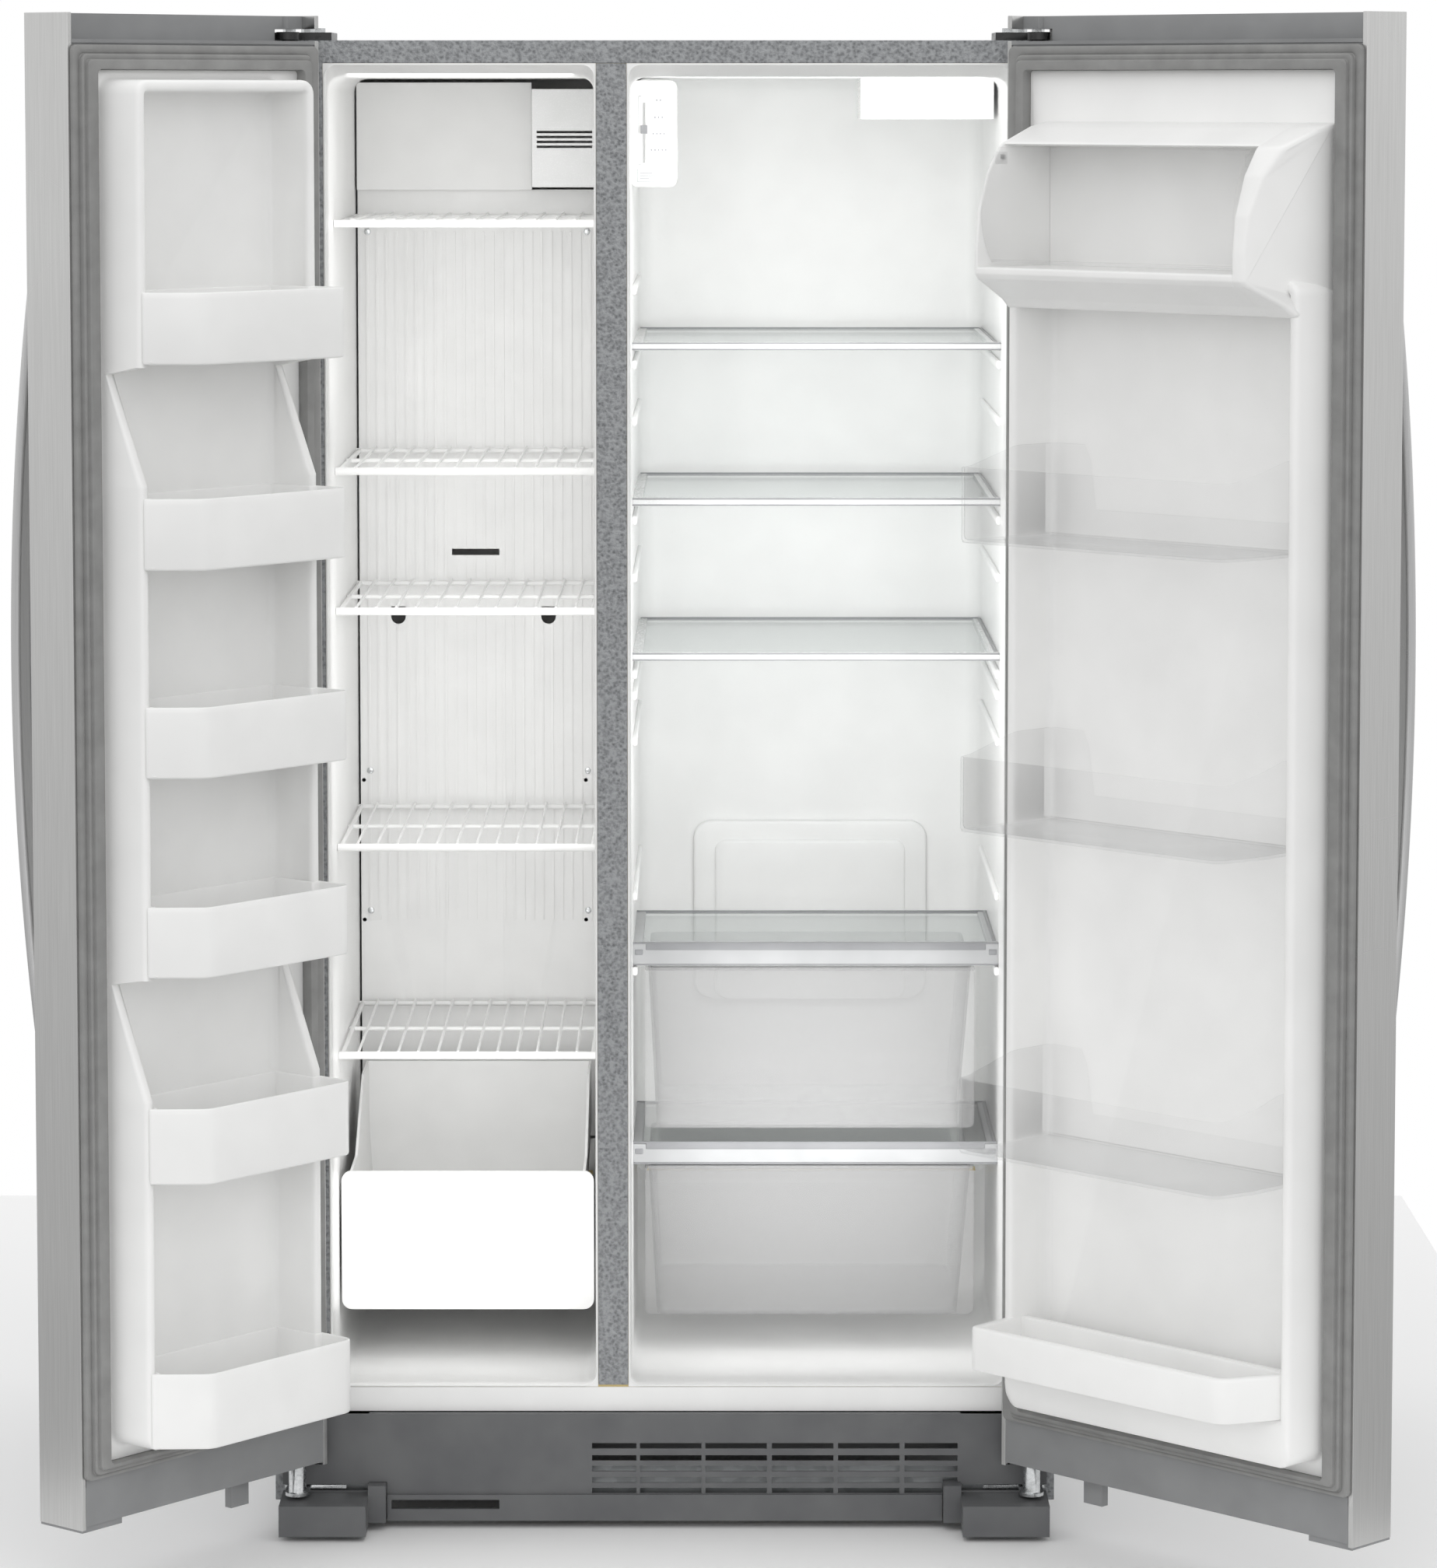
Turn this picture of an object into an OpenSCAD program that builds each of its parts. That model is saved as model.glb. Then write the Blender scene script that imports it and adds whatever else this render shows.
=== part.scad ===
// Side by side refrigerator: freezer on the left, fresh food compartment on the right.
// Millimetres, +Z up. The origin is on the floor, midway between the two front levelling feet,
// in the plane of the cabinet's front face. -Y is the front. Both doors are drawn swung open.

/* [Cabinet] */
// Width of the cabinet
cab_w = 911; // [905:1:930]
// Depth of the cabinet, without the doors
cab_d = 728; // [720:1:760]
// Height of the cabinet's top face above the floor
cab_top = 1731.5; // [1725:0.5:1745]
// Centre of the wall between the two compartments, from the cabinet's middle
mullion_x = -60; // [-64:1:-56]

/* [Compartments] */
// Width of the freezer compartment
freezer_w = 308; // [300:1:310]
// Width of the fresh food compartment
fridge_w = 437; // [430:1:440]
// Height of both compartment floors
floor_z = 167; // [165:1:170]
// Height of both compartment ceilings at the front
ceiling_z = 1703; // [1700:1:1705]

/* [Doors] */
// Angle that the freezer door is swung open, from closed
freezer_swing = 130; // [100:1:130]
// Angle that the fridge door is swung open, from closed
fridge_swing = 135; // [100:1:135]
// Thickness of a door, from its steel front to its inner edge
door_t = 70; // [66:1:72]
// Gap between the two closed doors
door_gap = 4; // [3:0.5:6]
// Height of the top of the doors
door_top = 1759; // [1757:0.5:1762]

/* [Storage] */
// Heights of the five freezer shelves
wire_z = [542, 790, 1070, 1235, 1525];
// Heights of the three glass shelves
glass_z = [1008, 1192, 1376];
// Floor heights of the six freezer door bins
freezer_bin_z = [174, 471, 701, 922, 1151, 1376];
// Floor heights of the three clear fridge door bins
clear_bin_z = [481, 846, 1171];

/* [Hidden] */
$fn = 48;

steel_t = 1.5;
liner_t = 2.5;
side_x = cab_w / 2;
wall_base_z = 30;
sill_z = 136;
foam_z = 137;
back_y = cab_d;

// Compartments: sides, rear walls and the hump over the machine compartment
freezer_x = [mullion_x - 20 - freezer_w, mullion_x - 20];
fridge_x = [mullion_x + 20, mullion_x + 20 + fridge_w];
freezer_back = 600;
fridge_back = 625;
freezer_hump = 430;
fridge_hump = 455;
hump_z = [330, 360];
ceiling_drop = 13;
corner_r = 14;
machine_y = 510;
machine_z = 322;

// Door frame: u runs from the pin to the free edge, v from the pin towards the cabinet
pin_x = 427;
pin_y = -37;
pin_inset = side_x - pin_x;
door_in = 21;
door_out = door_in - door_t;
split_x = -64;
freezer_u = split_x - door_gap / 2 + pin_x;
fridge_u = pin_x - split_x - door_gap / 2;
ledge_z = 1730;
cap_low = 84;
cap_high = 128;
foot_z = 77;
skin_low = 80;
liner_low = 152;
liner_high = 1697;
dike_low = 171;
freezer_dike_top = 1686;
pin_r = 6;
pin_clear = 0.06;
hinge_plate = [cab_top, cab_top + 9];
lower_plate = [46, 50];
hinge_bolt_x = [378, 431];
hinge_screws = [[396, 24], [430, 24], [413, 76]];

// Inner shapes of the doors
freezer_dike = [43, 318, 85];
fridge_dike = [33, 450, 87];
dike_t = 12;
freezer_bin_v = 137;
fridge_bin_v = 185;
bin_wall = 3;
dairy_z = 1478;
dairy_end = 428;
dairy_pivot = [104, 1600];
dairy_pin_r = 3;
dairy_u = [40, 404];

// Fronts of the shelves and drawers
freezer_front = 108;
fridge_front = 156;
shelf_back = 484;
shelf_gap = 0.3;
pane_inset = 12;
wire_r = 1.8;
control_front = 112;
foot_x = 395;
roller_y = 680;
fan_x = -60;
fan_y = 615;
fan_z = 150;

steel_grey = [0.55, 0.56, 0.57];
stainless = [0.78, 0.78, 0.78];
abs_white = [0.94, 0.94, 0.94];
dark_grey = [0.36, 0.37, 0.38];
mid_grey = [0.62, 0.62, 0.62];
foam_tan = [0.9, 0.82, 0.6];
clear_tint = [0.85, 0.92, 0.95, 0.45];
copper = [0.72, 0.45, 0.3];
black = [0.1, 0.1, 0.1];

// ---------- helpers ----------

module box(x, y, z) {
    translate([x[0], y[0], z[0]]) cube([x[1] - x[0], y[1] - y[0], z[1] - z[0]]);
}

// Profile drawn in X and Z, carried along Y
module along_y(y0, y1) {
    translate([0, y1, 0]) rotate([90, 0, 0]) linear_extrude(y1 - y0) children();
}

// Profile drawn in Y and Z, carried along X
module along_x(x0, x1) {
    translate([x0, 0, 0]) rotate([90, 0, 90]) linear_extrude(x1 - x0) children();
}

// Outline of a rectangle with round corners
function round_rect(x, z, r, n = 5) = [
    for (q = [0:3], i = [0:n])
        let (a = 90 * q + 90 * i / n)
        let (cx = (q == 0 || q == 3) ? x[1] - r : x[0] + r)
        let (cz = q < 2 ? z[1] - r : z[0] + r)
        [cx + r * cos(a), cz + r * sin(a)]
];

module rod_x(x0, x1, y, z, r) {
    translate([x0, y, z]) rotate([0, 90, 0]) cylinder(h = x1 - x0, r = r);
}

module rod_y(x, y0, y1, z, r) {
    translate([x, y1, z]) rotate([90, 0, 0]) cylinder(h = y1 - y0, r = r);
}

module rod_z(x, y, z0, z1, r) {
    translate([x, y, z0]) cylinder(h = z1 - z0, r = r);
}

module both_sides() {
    children();
    mirror([1, 0, 0]) children();
}

module freezer_door_place() {
    translate([-pin_x, pin_y, 0]) rotate([0, 0, -freezer_swing]) children();
}

module fridge_door_place() {
    translate([pin_x, pin_y, 0]) rotate([0, 0, fridge_swing]) mirror([1, 0, 0]) children();
}

// ---------- cabinet ----------

// Space inside a compartment, grown by t on every wall
module compartment(x, back, hump, y0, t) {
    intersection() {
        along_x(x[0] - t, x[1] + t)
            polygon([
                [y0, floor_z - t], [hump + t, floor_z - t], [hump + t, hump_z[0] - t / 2],
                [hump + 50, hump_z[1] - t], [back + t, hump_z[1] - t],
                [back + t, ceiling_z - ceiling_drop + t], [30, ceiling_z - ceiling_drop + t],
                [y0, ceiling_z + t - ceiling_drop * y0 / 30]
            ]);
        along_y(y0, back + t)
            polygon(round_rect([x[0] - t, x[1] + t], [floor_z - t, ceiling_z + t], corner_r + t));
    }
}

module freezer_space(y0, t) {
    compartment(freezer_x, freezer_back, freezer_hump, y0, t);
}

module fridge_space(y0, t) {
    compartment(fridge_x, fridge_back, fridge_hump, y0, t);
}

module cabinet_wrapper() {
    color(steel_grey) difference() {
        box([-side_x, side_x], [0, back_y - steel_t], [wall_base_z, cab_top]);
        box([-side_x + steel_t, side_x - steel_t], [steel_t, back_y], [0, cab_top - steel_t]);
        box([-side_x + 24, side_x - 24], [-1, steel_t + 1], [0, sill_z]);
        box([freezer_x[0] - liner_t, fridge_x[1] + liner_t], [-1, steel_t + 1],
            [sill_z - 1, ceiling_z + liner_t]);
    }
}

module cabinet_foam() {
    color(foam_tan) difference() {
        box([-side_x + steel_t, side_x - steel_t], [steel_t, back_y - steel_t],
            [foam_z, cab_top - steel_t]);
        freezer_space(0, liner_t);
        fridge_space(0, liner_t);
        box([-side_x, side_x], [machine_y, back_y], [0, machine_z]);
    }
}

module freezer_liner() {
    color(abs_white) difference() {
        freezer_space(0.2, liner_t);
        freezer_space(-1, 0);
    }
}

module fridge_liner() {
    color(abs_white) difference() {
        fridge_space(0.2, liner_t);
        fridge_space(-1, 0);
        // the cold air duct at the top of the dividing wall
        rod_x(fridge_x[0] - 5, fridge_x[0] + 5, 330, 1600, 20);
    }
}

module mullion_trim() {
    color(steel_grey) box([mullion_x - 17.3, mullion_x + 17.3], [-0.5, steel_t - 0.1],
        [floor_z + 0.2, ceiling_z + liner_t - 0.3]);
}

module front_sill() {
    color(abs_white) box([freezer_x[0] - 2, fridge_x[1] + 2], [-0.6, steel_t - 0.1],
        [sill_z, floor_z - liner_t - 0.2]);
}

module back_panel() {
    color(steel_grey) difference() {
        box([-side_x, side_x], [back_y - steel_t, back_y], [machine_z + 2, cab_top]);
        for (x = [-380, 0, 380], z = [400, 1000, 1650]) {
            rod_y(x, back_y - 3, back_y + 1, z, 2.2);
        }
    }
}

module machine_cover() {
    color(dark_grey) difference() {
        box([-side_x + 4, side_x - 4], [back_y - steel_t, back_y], [44, machine_z]);
        for (x = [-360:40:-80], z = [90:30:240]) {
            box([x, x + 30], [back_y - 3, back_y + 1], [z, z + 9]);
        }
        for (x = [120:40:320], z = [90:30:240]) {
            box([x, x + 30], [back_y - 3, back_y + 1], [z, z + 9]);
        }
        rod_y(20, back_y - 3, back_y + 1, 280, 13);
    }
}

module base_frame() {
    color(mid_grey) {
        both_sides() difference() {
            box([side_x - 40, side_x - steel_t], [3, back_y - steel_t], [30, 70]);
            box([side_x - 38, side_x - 10], [2, back_y], [32.5, 67.5]);
            box([side_x - 45, side_x - 8], [640, 720], [20, 67.5]);
        }
        box([-side_x + 40, side_x - 40], [10, 16], [34, 70]);
        difference() {
            box([-side_x + 40, side_x - 40], [machine_y + 5, back_y - steel_t], [34, 37]);
            box([-90, -40], [machine_y + 20, back_y - 30], [30, 40]);
        }
    }
}

module louvre_slots() {
    for (z = [102, 87.6, 75, 61.4, 48.8]) {
        for (x = [-87, -31, 45.3, 123, 200.2, 277.8]) {
            box([x + 2.2, (x < -80) ? x + 54 : ((x > 270) ? 342 : x + 74)],
                [-20, 20], [z - 8, z - 1.5]);
        }
    }
}

module base_grille() {
    color(dark_grey) difference() {
        union() {
            box([-345, 345], [-12, -1.5], [34, 135]);
            box([-324, 324], [-16, -1.5], [9, 40]);
            both_sides() {
                box([344, 400], [-12, -9.5], [51.5, 135]);
                box([399, 446], [-12, -9.5], [51.5, 75]);
            }
        }
        box([-342, 342], [-9.5, 0], [12, 132.5]);
        box([-319, -193], [-20, -5], [23, 34]);
        both_sides() box([324.4, 346], [-20, 0], [0, 54.5]);
        louvre_slots();
    }
}

module hinge_covers() {
    color(dark_grey) both_sides() difference() {
        union() {
            box([345.5, 446], [-77, -2], [6, 42]);
            box([325, 345.6], [-30, -2], [10, 54]);
            box([345.4, 440], [-11, -2], [41.9, 44]);
        }
        box([348, 443.5], [-74.5, 0], [0, 39.5]);
        box([327.5, 350], [-27.5, 0], [0, 39.5]);
        rod_z(foot_x, 0, 30, 50, 7);
    }
}

module leveling_feet() {
    color(black) both_sides() {
        rod_z(foot_x, 0, 0, 9, 19);
        color("silver") rod_z(foot_x, 0, 9, 66, 5);
        color("silver") rod_z(foot_x, 0, lower_plate[1] + 0.2, lower_plate[1] + 6, 8.5, $fn = 6);
    }
}

module roller_brackets() {
    color("silver") both_sides() difference() {
        box([side_x - 37, side_x - 11], [roller_y - 25, roller_y + 25], [14, 67.5]);
        box([side_x - 34, side_x - 14], [roller_y - 30, roller_y + 30], [10, 64]);
        rod_x(side_x - 40, side_x - 5, roller_y, 22, 4.06);
    }
}

module roller(s) {
    color(black) {
        rod_x(s * (side_x - 24) - 9.5, s * (side_x - 24) + 9.5, roller_y, 22, 22);
        rod_x(s * (side_x - 24) - 15, s * (side_x - 24) + 15, roller_y, 22, 4);
    }
}

module left_rear_roller() {
    roller(-1);
}

module right_rear_roller() {
    roller(1);
}

// ---------- hinges ----------

module top_hinges() {
    color(dark_grey) both_sides() {
        difference() {
            union() {
                rod_z(pin_x, pin_y, hinge_plate[0], hinge_plate[1], 13);
                box([pin_x - 10, pin_x + 10], [pin_y, 10], hinge_plate);
                box([380, 446], [2, 96], hinge_plate);
            }
            for (p = hinge_screws) {
                rod_z(p[0], p[1], cab_top - 1, cab_top + 20, 4.5);
            }
        }
        rod_z(pin_x, pin_y, 1698, hinge_plate[0] + 1, pin_r);
    }
}

module bottom_hinges() {
    color("silver") both_sides() {
        difference() {
            union() {
                rod_z(pin_x, pin_y, lower_plate[0], lower_plate[1], 14);
                box([372, 444], [-9.3, -0.1], lower_plate);
                box([413, 441], [pin_y, -9.2], lower_plate);
                box([378, 414], [-0.2, 9.5], lower_plate);
                box([372, 440], [-3.4, -0.1], [49, 78]);
            }
            rod_z(foot_x, 0, 40, 60, 5.06);
            // window around the levelling leg and its nut
            box([385, 405], [-5, 1], [lower_plate[1], 70]);
            for (x = hinge_bolt_x) {
                rod_y(x, -5, 5, 64, 3.2);
            }
        }
        rod_z(pin_x, pin_y, lower_plate[1] - 1, 82.6, 10);
        rod_z(pin_x, pin_y, 80, 122, pin_r);
    }
}

module hinge_bolts() {
    color("silver") both_sides() {
        for (p = hinge_screws) {
            rod_z(p[0], p[1], cab_top, hinge_plate[1] + 0.5, 4.44);
            rod_z(p[0], p[1], hinge_plate[1], hinge_plate[1] + 5, 7.5, $fn = 6);
        }
        for (x = hinge_bolt_x) {
            rod_y(x, -8.4, -3.4, 64, 5.5, $fn = 6);
            rod_y(x, -4, -0.1, 64, 3.14);
        }
    }
}

// ---------- machine compartment ----------

module compressor() {
    color(black) {
        rod_z(250, 615, 62, 190, 84);
        translate([250, 615, 190]) intersection() {
            sphere(r = 84);
            rod_z(0, 0, -1, 50, 90);
        }
        for (a = [45:90:315]) {
            translate([250 + 92 * cos(a), 615 + 92 * sin(a), 37]) cylinder(h = 25, r = 11);
            translate([250 + 82 * cos(a), 615 + 82 * sin(a), 62]) cylinder(h = 4, r = 24);
        }
        rod_z(250, 615, 58, 63, 70);
        box([150, 172], [580, 640], [100, 160]);
    }
}

module condenser() {
    color(black) {
        for (x = [-370:9:-100]) {
            box([x, x + 1.2], [530, 700], [48, 250]);
        }
        for (y = [550, 590, 630, 670], z = [75, 120, 165, 210]) {
            rod_x(-380, -88, y, z, 4);
        }
        box([-374, -96], [528, 532], [42, 250]);
        box([-374, -96], [698, 702], [37, 250]);
        box([-374, -96], [528, 702], [37, 42.2]);
    }
}

module condenser_fan_motor() {
    color(mid_grey) {
        rod_x(-42, 0, fan_y, fan_z, 34);
        rod_x(fan_x, -41, fan_y, fan_z, 3.5);
        box([-30, -24], [560, 670], [37, 143]);
        box([-30, 0], [585, 645], [37, 40]);
    }
}

module fan_rotor(r, hub_r, hub_h, bore_r, blades) {
    difference() {
        union() {
            cylinder(h = hub_h, r = hub_r);
            for (k = [0:blades - 1]) {
                rotate([0, 0, 360 / blades * k]) translate([hub_r - 2, 0, hub_h / 2])
                    rotate([28, 0, 0]) translate([0, -r * 0.26, -1])
                        cube([r - hub_r, r * 0.52, 2]);
            }
        }
        translate([0, 0, -1]) cylinder(h = hub_h + 2, r = bore_r);
    }
}

module condenser_fan() {
    color(dark_grey) translate([fan_x, fan_y, fan_z]) rotate([0, 90, 0]) fan_rotor(76, 17, 14, 3.56, 5);
}

module drain_pan() {
    color(dark_grey) difference() {
        box([-430, 430], [60, 440], [70.1, 100]);
        box([-427, 427], [63, 437], [72.6, 110]);
    }
}

module refrigerant_lines() {
    color(copper) {
        rod_z(250, 575, 240, 262, 3.5);
        translate([250, 575, 262]) sphere(r = 3.6);
        rod_y(250, 550, 575, 262, 3.5);
        translate([250, 550, 262]) sphere(r = 3.6);
        rod_x(-91, 250, 550, 262, 3.5);
        translate([-91, 550, 262]) sphere(r = 3.6);
        rod_z(-91, 550, 213.5, 262, 3.5);
        // the drier in the line
        rod_x(0, 110, 550, 262, 9);
    }
}

module power_inlet() {
    color(black) {
        rod_y(20, back_y - 6, back_y + 4, 280, 12.6);
        difference() {
            rod_y(20, back_y + 0.1, back_y + 16, 280, 17);
            rod_y(20, back_y + 5, back_y + 17, 280, 5);
        }
    }
}

// ---------- freezer compartment ----------

module evaporator() {
    color("silver") {
        for (x = [-372:8:-96]) {
            box([x, x + 1], [522, 582], [430, 880]);
        }
        for (y = [537, 567], z = [460:55:850]) {
            rod_x(-378, -90, y, z, 4.5);
        }
    }
}

module evaporator_cover() {
    color(abs_white) difference() {
        union() {
            box([freezer_x[0] + 4, freezer_x[1] - 4], [492, 495], [366, 1552]);
            box([freezer_x[0] + 4, freezer_x[0] + 220], [480, 495], [1552, 1684]);
            for (x = [freezer_x[0] + 14:12:freezer_x[1] - 14]) {
                box([x, x + 3], [490.5, 493], [640, 1500]);
            }
        }
        box([freezer_x[0] + 7, freezer_x[0] + 217], [483, 500], [1555, 1680]);
        box([-269, -210], [480, 500], [1098, 1106]);
        for (x = [-336, -149]) {
            rod_y(x, 480, 500, 1021, 9);
            box([x - 9, x + 9], [480, 500], [1021, 1034]);
        }
        for (x = [-380, -103], z = [640, 816]) {
            rod_y(x, 480, 500, z, 2.5);
        }
        for (x = [-290:14:-180]) {
            box([x, x + 7], [480, 500], [380, 400]);
        }
    }
}

module evaporator_fan_motor() {
    color(mid_grey) {
        rod_y(-234, 548, 590, 1180, 26);
        rod_y(-234, 528, 549, 1180, 3);
        box([-300, -168], [588, 599.8], [1172, 1188]);
    }
}

module evaporator_fan() {
    color(dark_grey) translate([-234, 541, 1180]) rotate([90, 0, 0]) fan_rotor(62, 14, 12, 3.06, 5);
}

// Shelf of crossed wires, with its top face at z
module wire_shelf(z) {
    x0 = freezer_x[0] + shelf_gap;
    x1 = freezer_x[1] - shelf_gap;
    low = z - wire_r - 4;
    color(abs_white) {
        rod_x(x0, x1, freezer_front + 5, low, 4.8, $fn = 12);
        rod_x(x0, x1, shelf_back - 4, low, 3.2, $fn = 8);
        rod_x(x0, x1, (freezer_front + shelf_back) / 2, low, 3, $fn = 8);
        for (x = [x0 + 4, x1 - 4]) {
            rod_y(x, freezer_front + 5, shelf_back - 4, low, 3, $fn = 8);
        }
        for (k = [1:12]) {
            rod_y(x0 + (x1 - x0) * k / 13, freezer_front + 3, shelf_back - 2, z - wire_r, wire_r,
                $fn = 8);
        }
    }
}

module wire_shelf_1() {
    wire_shelf(wire_z[0]);
}

module wire_shelf_2() {
    wire_shelf(wire_z[1]);
}

module wire_shelf_3() {
    wire_shelf(wire_z[2]);
}

module wire_shelf_4() {
    wire_shelf(wire_z[3]);
}

module wire_shelf_5() {
    wire_shelf(wire_z[4]);
}

module freezer_basket() {
    x0 = freezer_x[0] + 4;
    x1 = freezer_x[1] - 5;
    y1 = freezer_hump - 8;
    color(abs_white) difference() {
        union() {
            along_y(freezer_front, y1)
                polygon([[x0 + 10, 398], [x0 + 20, 234], [x1 - 20, 234], [x1 - 10, 398]]);
            along_y(freezer_front, freezer_front + 6)
                polygon(round_rect([x0, x1], [232, 398], 12));
            along_x(x0 + 10, x1 - 10)
                polygon([[200, 397], [y1, 397], [y1, 474], [330, 474]]);
        }
        along_y(freezer_front + 3, y1 - 3)
            polygon([[x0 + 13, 500], [x0 + 13, 398], [x0 + 23, 237],
                [x1 - 23, 237], [x1 - 13, 398], [x1 - 13, 500]]);
    }
}

module freezer_light_cover() {
    color(abs_white) difference() {
        box([-166, freezer_x[1] - 6], [430, 491.8], [1556, 1676]);
        box([-163, freezer_x[1] - 9], [433, 500], [1559, 1673]);
        for (z = [1604:6:1622]) {
            box([-160, freezer_x[1] - 12], [425, 440], [z, z + 3]);
        }
    }
}

// ---------- fresh food compartment ----------

// Glass pane in a plastic frame, with the frame's front lip standing up
module shelf_frame(z, low, high, y1) {
    x0 = fridge_x[0] + shelf_gap;
    x1 = fridge_x[1] - shelf_gap;
    difference() {
        union() {
            box([x0, x1], [fridge_front, y1], [z - 9, z]);
            box([x0, x1], [fridge_front, fridge_front + 14], [z + low, z + high]);
        }
        box([x0 + pane_inset + 4, x1 - pane_inset - 4], [fridge_front + 20, y1 - 16], [z - 20, z + 30]);
        box([x0 + pane_inset, x1 - pane_inset], [fridge_front + 14.1, y1 - 12], [z - 5, z + 1]);
    }
}

module shelf_pane(z, y1) {
    inset = shelf_gap + pane_inset + 0.4;
    box([fridge_x[0] + inset, fridge_x[1] - inset], [fridge_front + 14.6, y1 - 12.5], [z - 5, z - 0.5]);
}

module shelf_frames() {
    color(abs_white) for (z = glass_z) {
        shelf_frame(z, -9, (z > 1300) ? 9 : 2, fridge_back - 8);
    }
}

module shelf_glass() {
    color(clear_tint) for (z = glass_z) {
        shelf_pane(z, fridge_back - 8);
    }
}

crisper_top = [658, 418];
crisper_trim = [[-22, 8], [-20, 6]];

module crisper_shelf_frames() {
    color(abs_white) for (k = [0, 1]) {
        shelf_frame(crisper_top[k], crisper_trim[k][0], crisper_trim[k][1], 450);
    }
}

module crisper_shelf_glass() {
    color(clear_tint) for (k = [0, 1]) {
        shelf_pane(crisper_top[k], 450);
    }
}

// Clear drawer with sides that lean in towards its floor
module crisper(z0, z1) {
    y1 = 432;
    color(clear_tint) difference() {
        union() {
            along_y(fridge_front + 2, y1)
                polygon([[-21, z1], [-11, z0], [348, z0], [364, z1]]);
            box([-26, 369], [fridge_front + 2, fridge_front + 5], [z1 - 16, z1]);
            box([-26, 369], [fridge_front + 2, y1], [z1 - 4, z1]);
        }
        along_y(fridge_front + 5, y1 - 3)
            polygon([[-18, z1 + 1], [-8, z0 + 3], [345, z0 + 3], [361, z1 + 1]]);
    }
}

module upper_crisper() {
    crisper(440, 634);
}

module lower_crisper() {
    crisper(214, 395);
}

module control_housing() {
    color(abs_white) difference() {
        along_y(control_front, 300)
            polygon(round_rect([fridge_x[0] + 0.4, 14], [1562, 1686], 8));
        along_y(control_front + 3, 305)
            polygon(round_rect([fridge_x[0] + 3, 11], [1565, 1683], 6));
        box([-25.5, -22.5], [control_front - 8, control_front + 8], [1590, 1660]);
    }
}

module temperature_slider() {
    color(mid_grey) {
        box([-25.2, -22.8], [control_front - 3.5, control_front + 6], [1626, 1632]);
        box([-28, -20], [control_front - 4, control_front - 0.3], [1624, 1634]);
        box([-28, -20], [control_front + 3.3, control_front + 6], [1624, 1634]);
    }
}

module fridge_light_cover() {
    color(abs_white) difference() {
        box([232, fridge_x[1] - 6], [250, 420], [1640, 1689.6]);
        box([235, fridge_x[1] - 9], [253, 417], [1643, 1692]);
    }
}

// ---------- doors, drawn closed in their own frame ----------

// Upright bar with the door's outline in u and v, t inside its faces. The outer hinge corner is cut off
// so that it clears the cabinet as the door swings.
module door_core(u1, t, v1, z) {
    hinge_cut = [-21, 0];
    translate([0, 0, z[0]]) linear_extrude(z[1] - z[0])
        polygon([
            [-pin_inset + t, v1], [-pin_inset + t, hinge_cut[0] + t * tan(22.5)],
            [hinge_cut[1] + t * tan(22.5), door_out + t], [u1 - t, door_out + t], [u1 - t, v1]
        ]);
}

// Steel front with side returns and short lips turned in at the back
module door_skin(u1) {
    color(stainless) difference() {
        door_core(u1, 0, door_in, [skin_low, door_top]);
        door_core(u1, steel_t, door_in - steel_t, [0, door_top + 9]);
        box([-pin_inset + 6, u1 - 6], [0, door_in + 5], [0, door_top + 9]);
        // room for the hinge plate to sweep as the door turns
        box([-pin_inset - 1, -pin_inset + 15], [door_out + 4, door_in + 5], [ledge_z, ledge_z + 14]);
    }
}

module door_foam(u1) {
    color(foam_tan) door_core(u1, steel_t, door_in - steel_t - 0.1, [cap_high, 1696]);
}

// Layered magnetic seal on the door's inner edge
module door_gasket(u1) {
    color(mid_grey) difference() {
        union() {
            box([-22, u1 - 3], [door_in + 0.1, 27.5], [136, 1724]);
            box([-6, u1 - 12], [27, 32], [142, 1714]);
            box([-4, u1 - 18], [31.5, 35.4], [147, 1708]);
        }
        box([8, u1 - 33], [0, 60], [liner_low, liner_high]);
    }
}

// Plastic end caps of a door, with the bores that turn on the hinge pins
module door_caps(u1) {
    v_in = door_in - steel_t - 0.1;
    color(dark_grey) {
        difference() {
            union() {
                door_core(u1, steel_t, v_in, [1696.1, ledge_z]);
                box([-pin_inset + 6, u1 - 6], [door_in - 2, door_in], [1726, ledge_z]);
                door_core(u1, steel_t, -4, [ledge_z - 1, door_top - 0.5]);
            }
            rod_z(0, 0, 1600, 1800, pin_r + pin_clear);
            // slot under the overhang where the hinge plate sweeps
            box([-pin_inset - 1, 17], [door_out + 4, door_in + 5], [ledge_z, ledge_z + 14]);
        }
        difference() {
            union() {
                door_core(u1, steel_t, v_in, [cap_low, cap_high - 0.1]);
                box([-pin_inset + 6, u1 - 6], [door_in - 2, door_in], [cap_low, cap_high]);
                box([u1 - 62, u1 - steel_t], [door_out + steel_t, v_in], [foot_z, cap_low + 1]);
                box([84, 112], [-6, 4], [53, cap_low + 1]);
            }
            rod_z(0, 0, 60, 124, pin_r + pin_clear);
        }
    }
}

// Long bowed bar on two posts, on the outer face near the free edge
module door_handle(u1) {
    bow_r = 2640;
    mid_z = 1040;
    u = u1 - 32;
    color(stainless) {
        translate([u, door_out - 56 + bow_r, mid_z]) rotate([0, 90, 0]) rotate([0, 0, -90 - 9.3])
            rotate_extrude(angle = 18.6, $fn = 1200)
                polygon(round_rect([bow_r - 14, bow_r], [-12, 12], 5, 3));
        for (z = [mid_z - 395, mid_z + 395]) {
            translate([u, door_out, z]) rotate([90, 0, 0]) cylinder(h = 20, r = 9);
        }
    }
}

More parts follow.
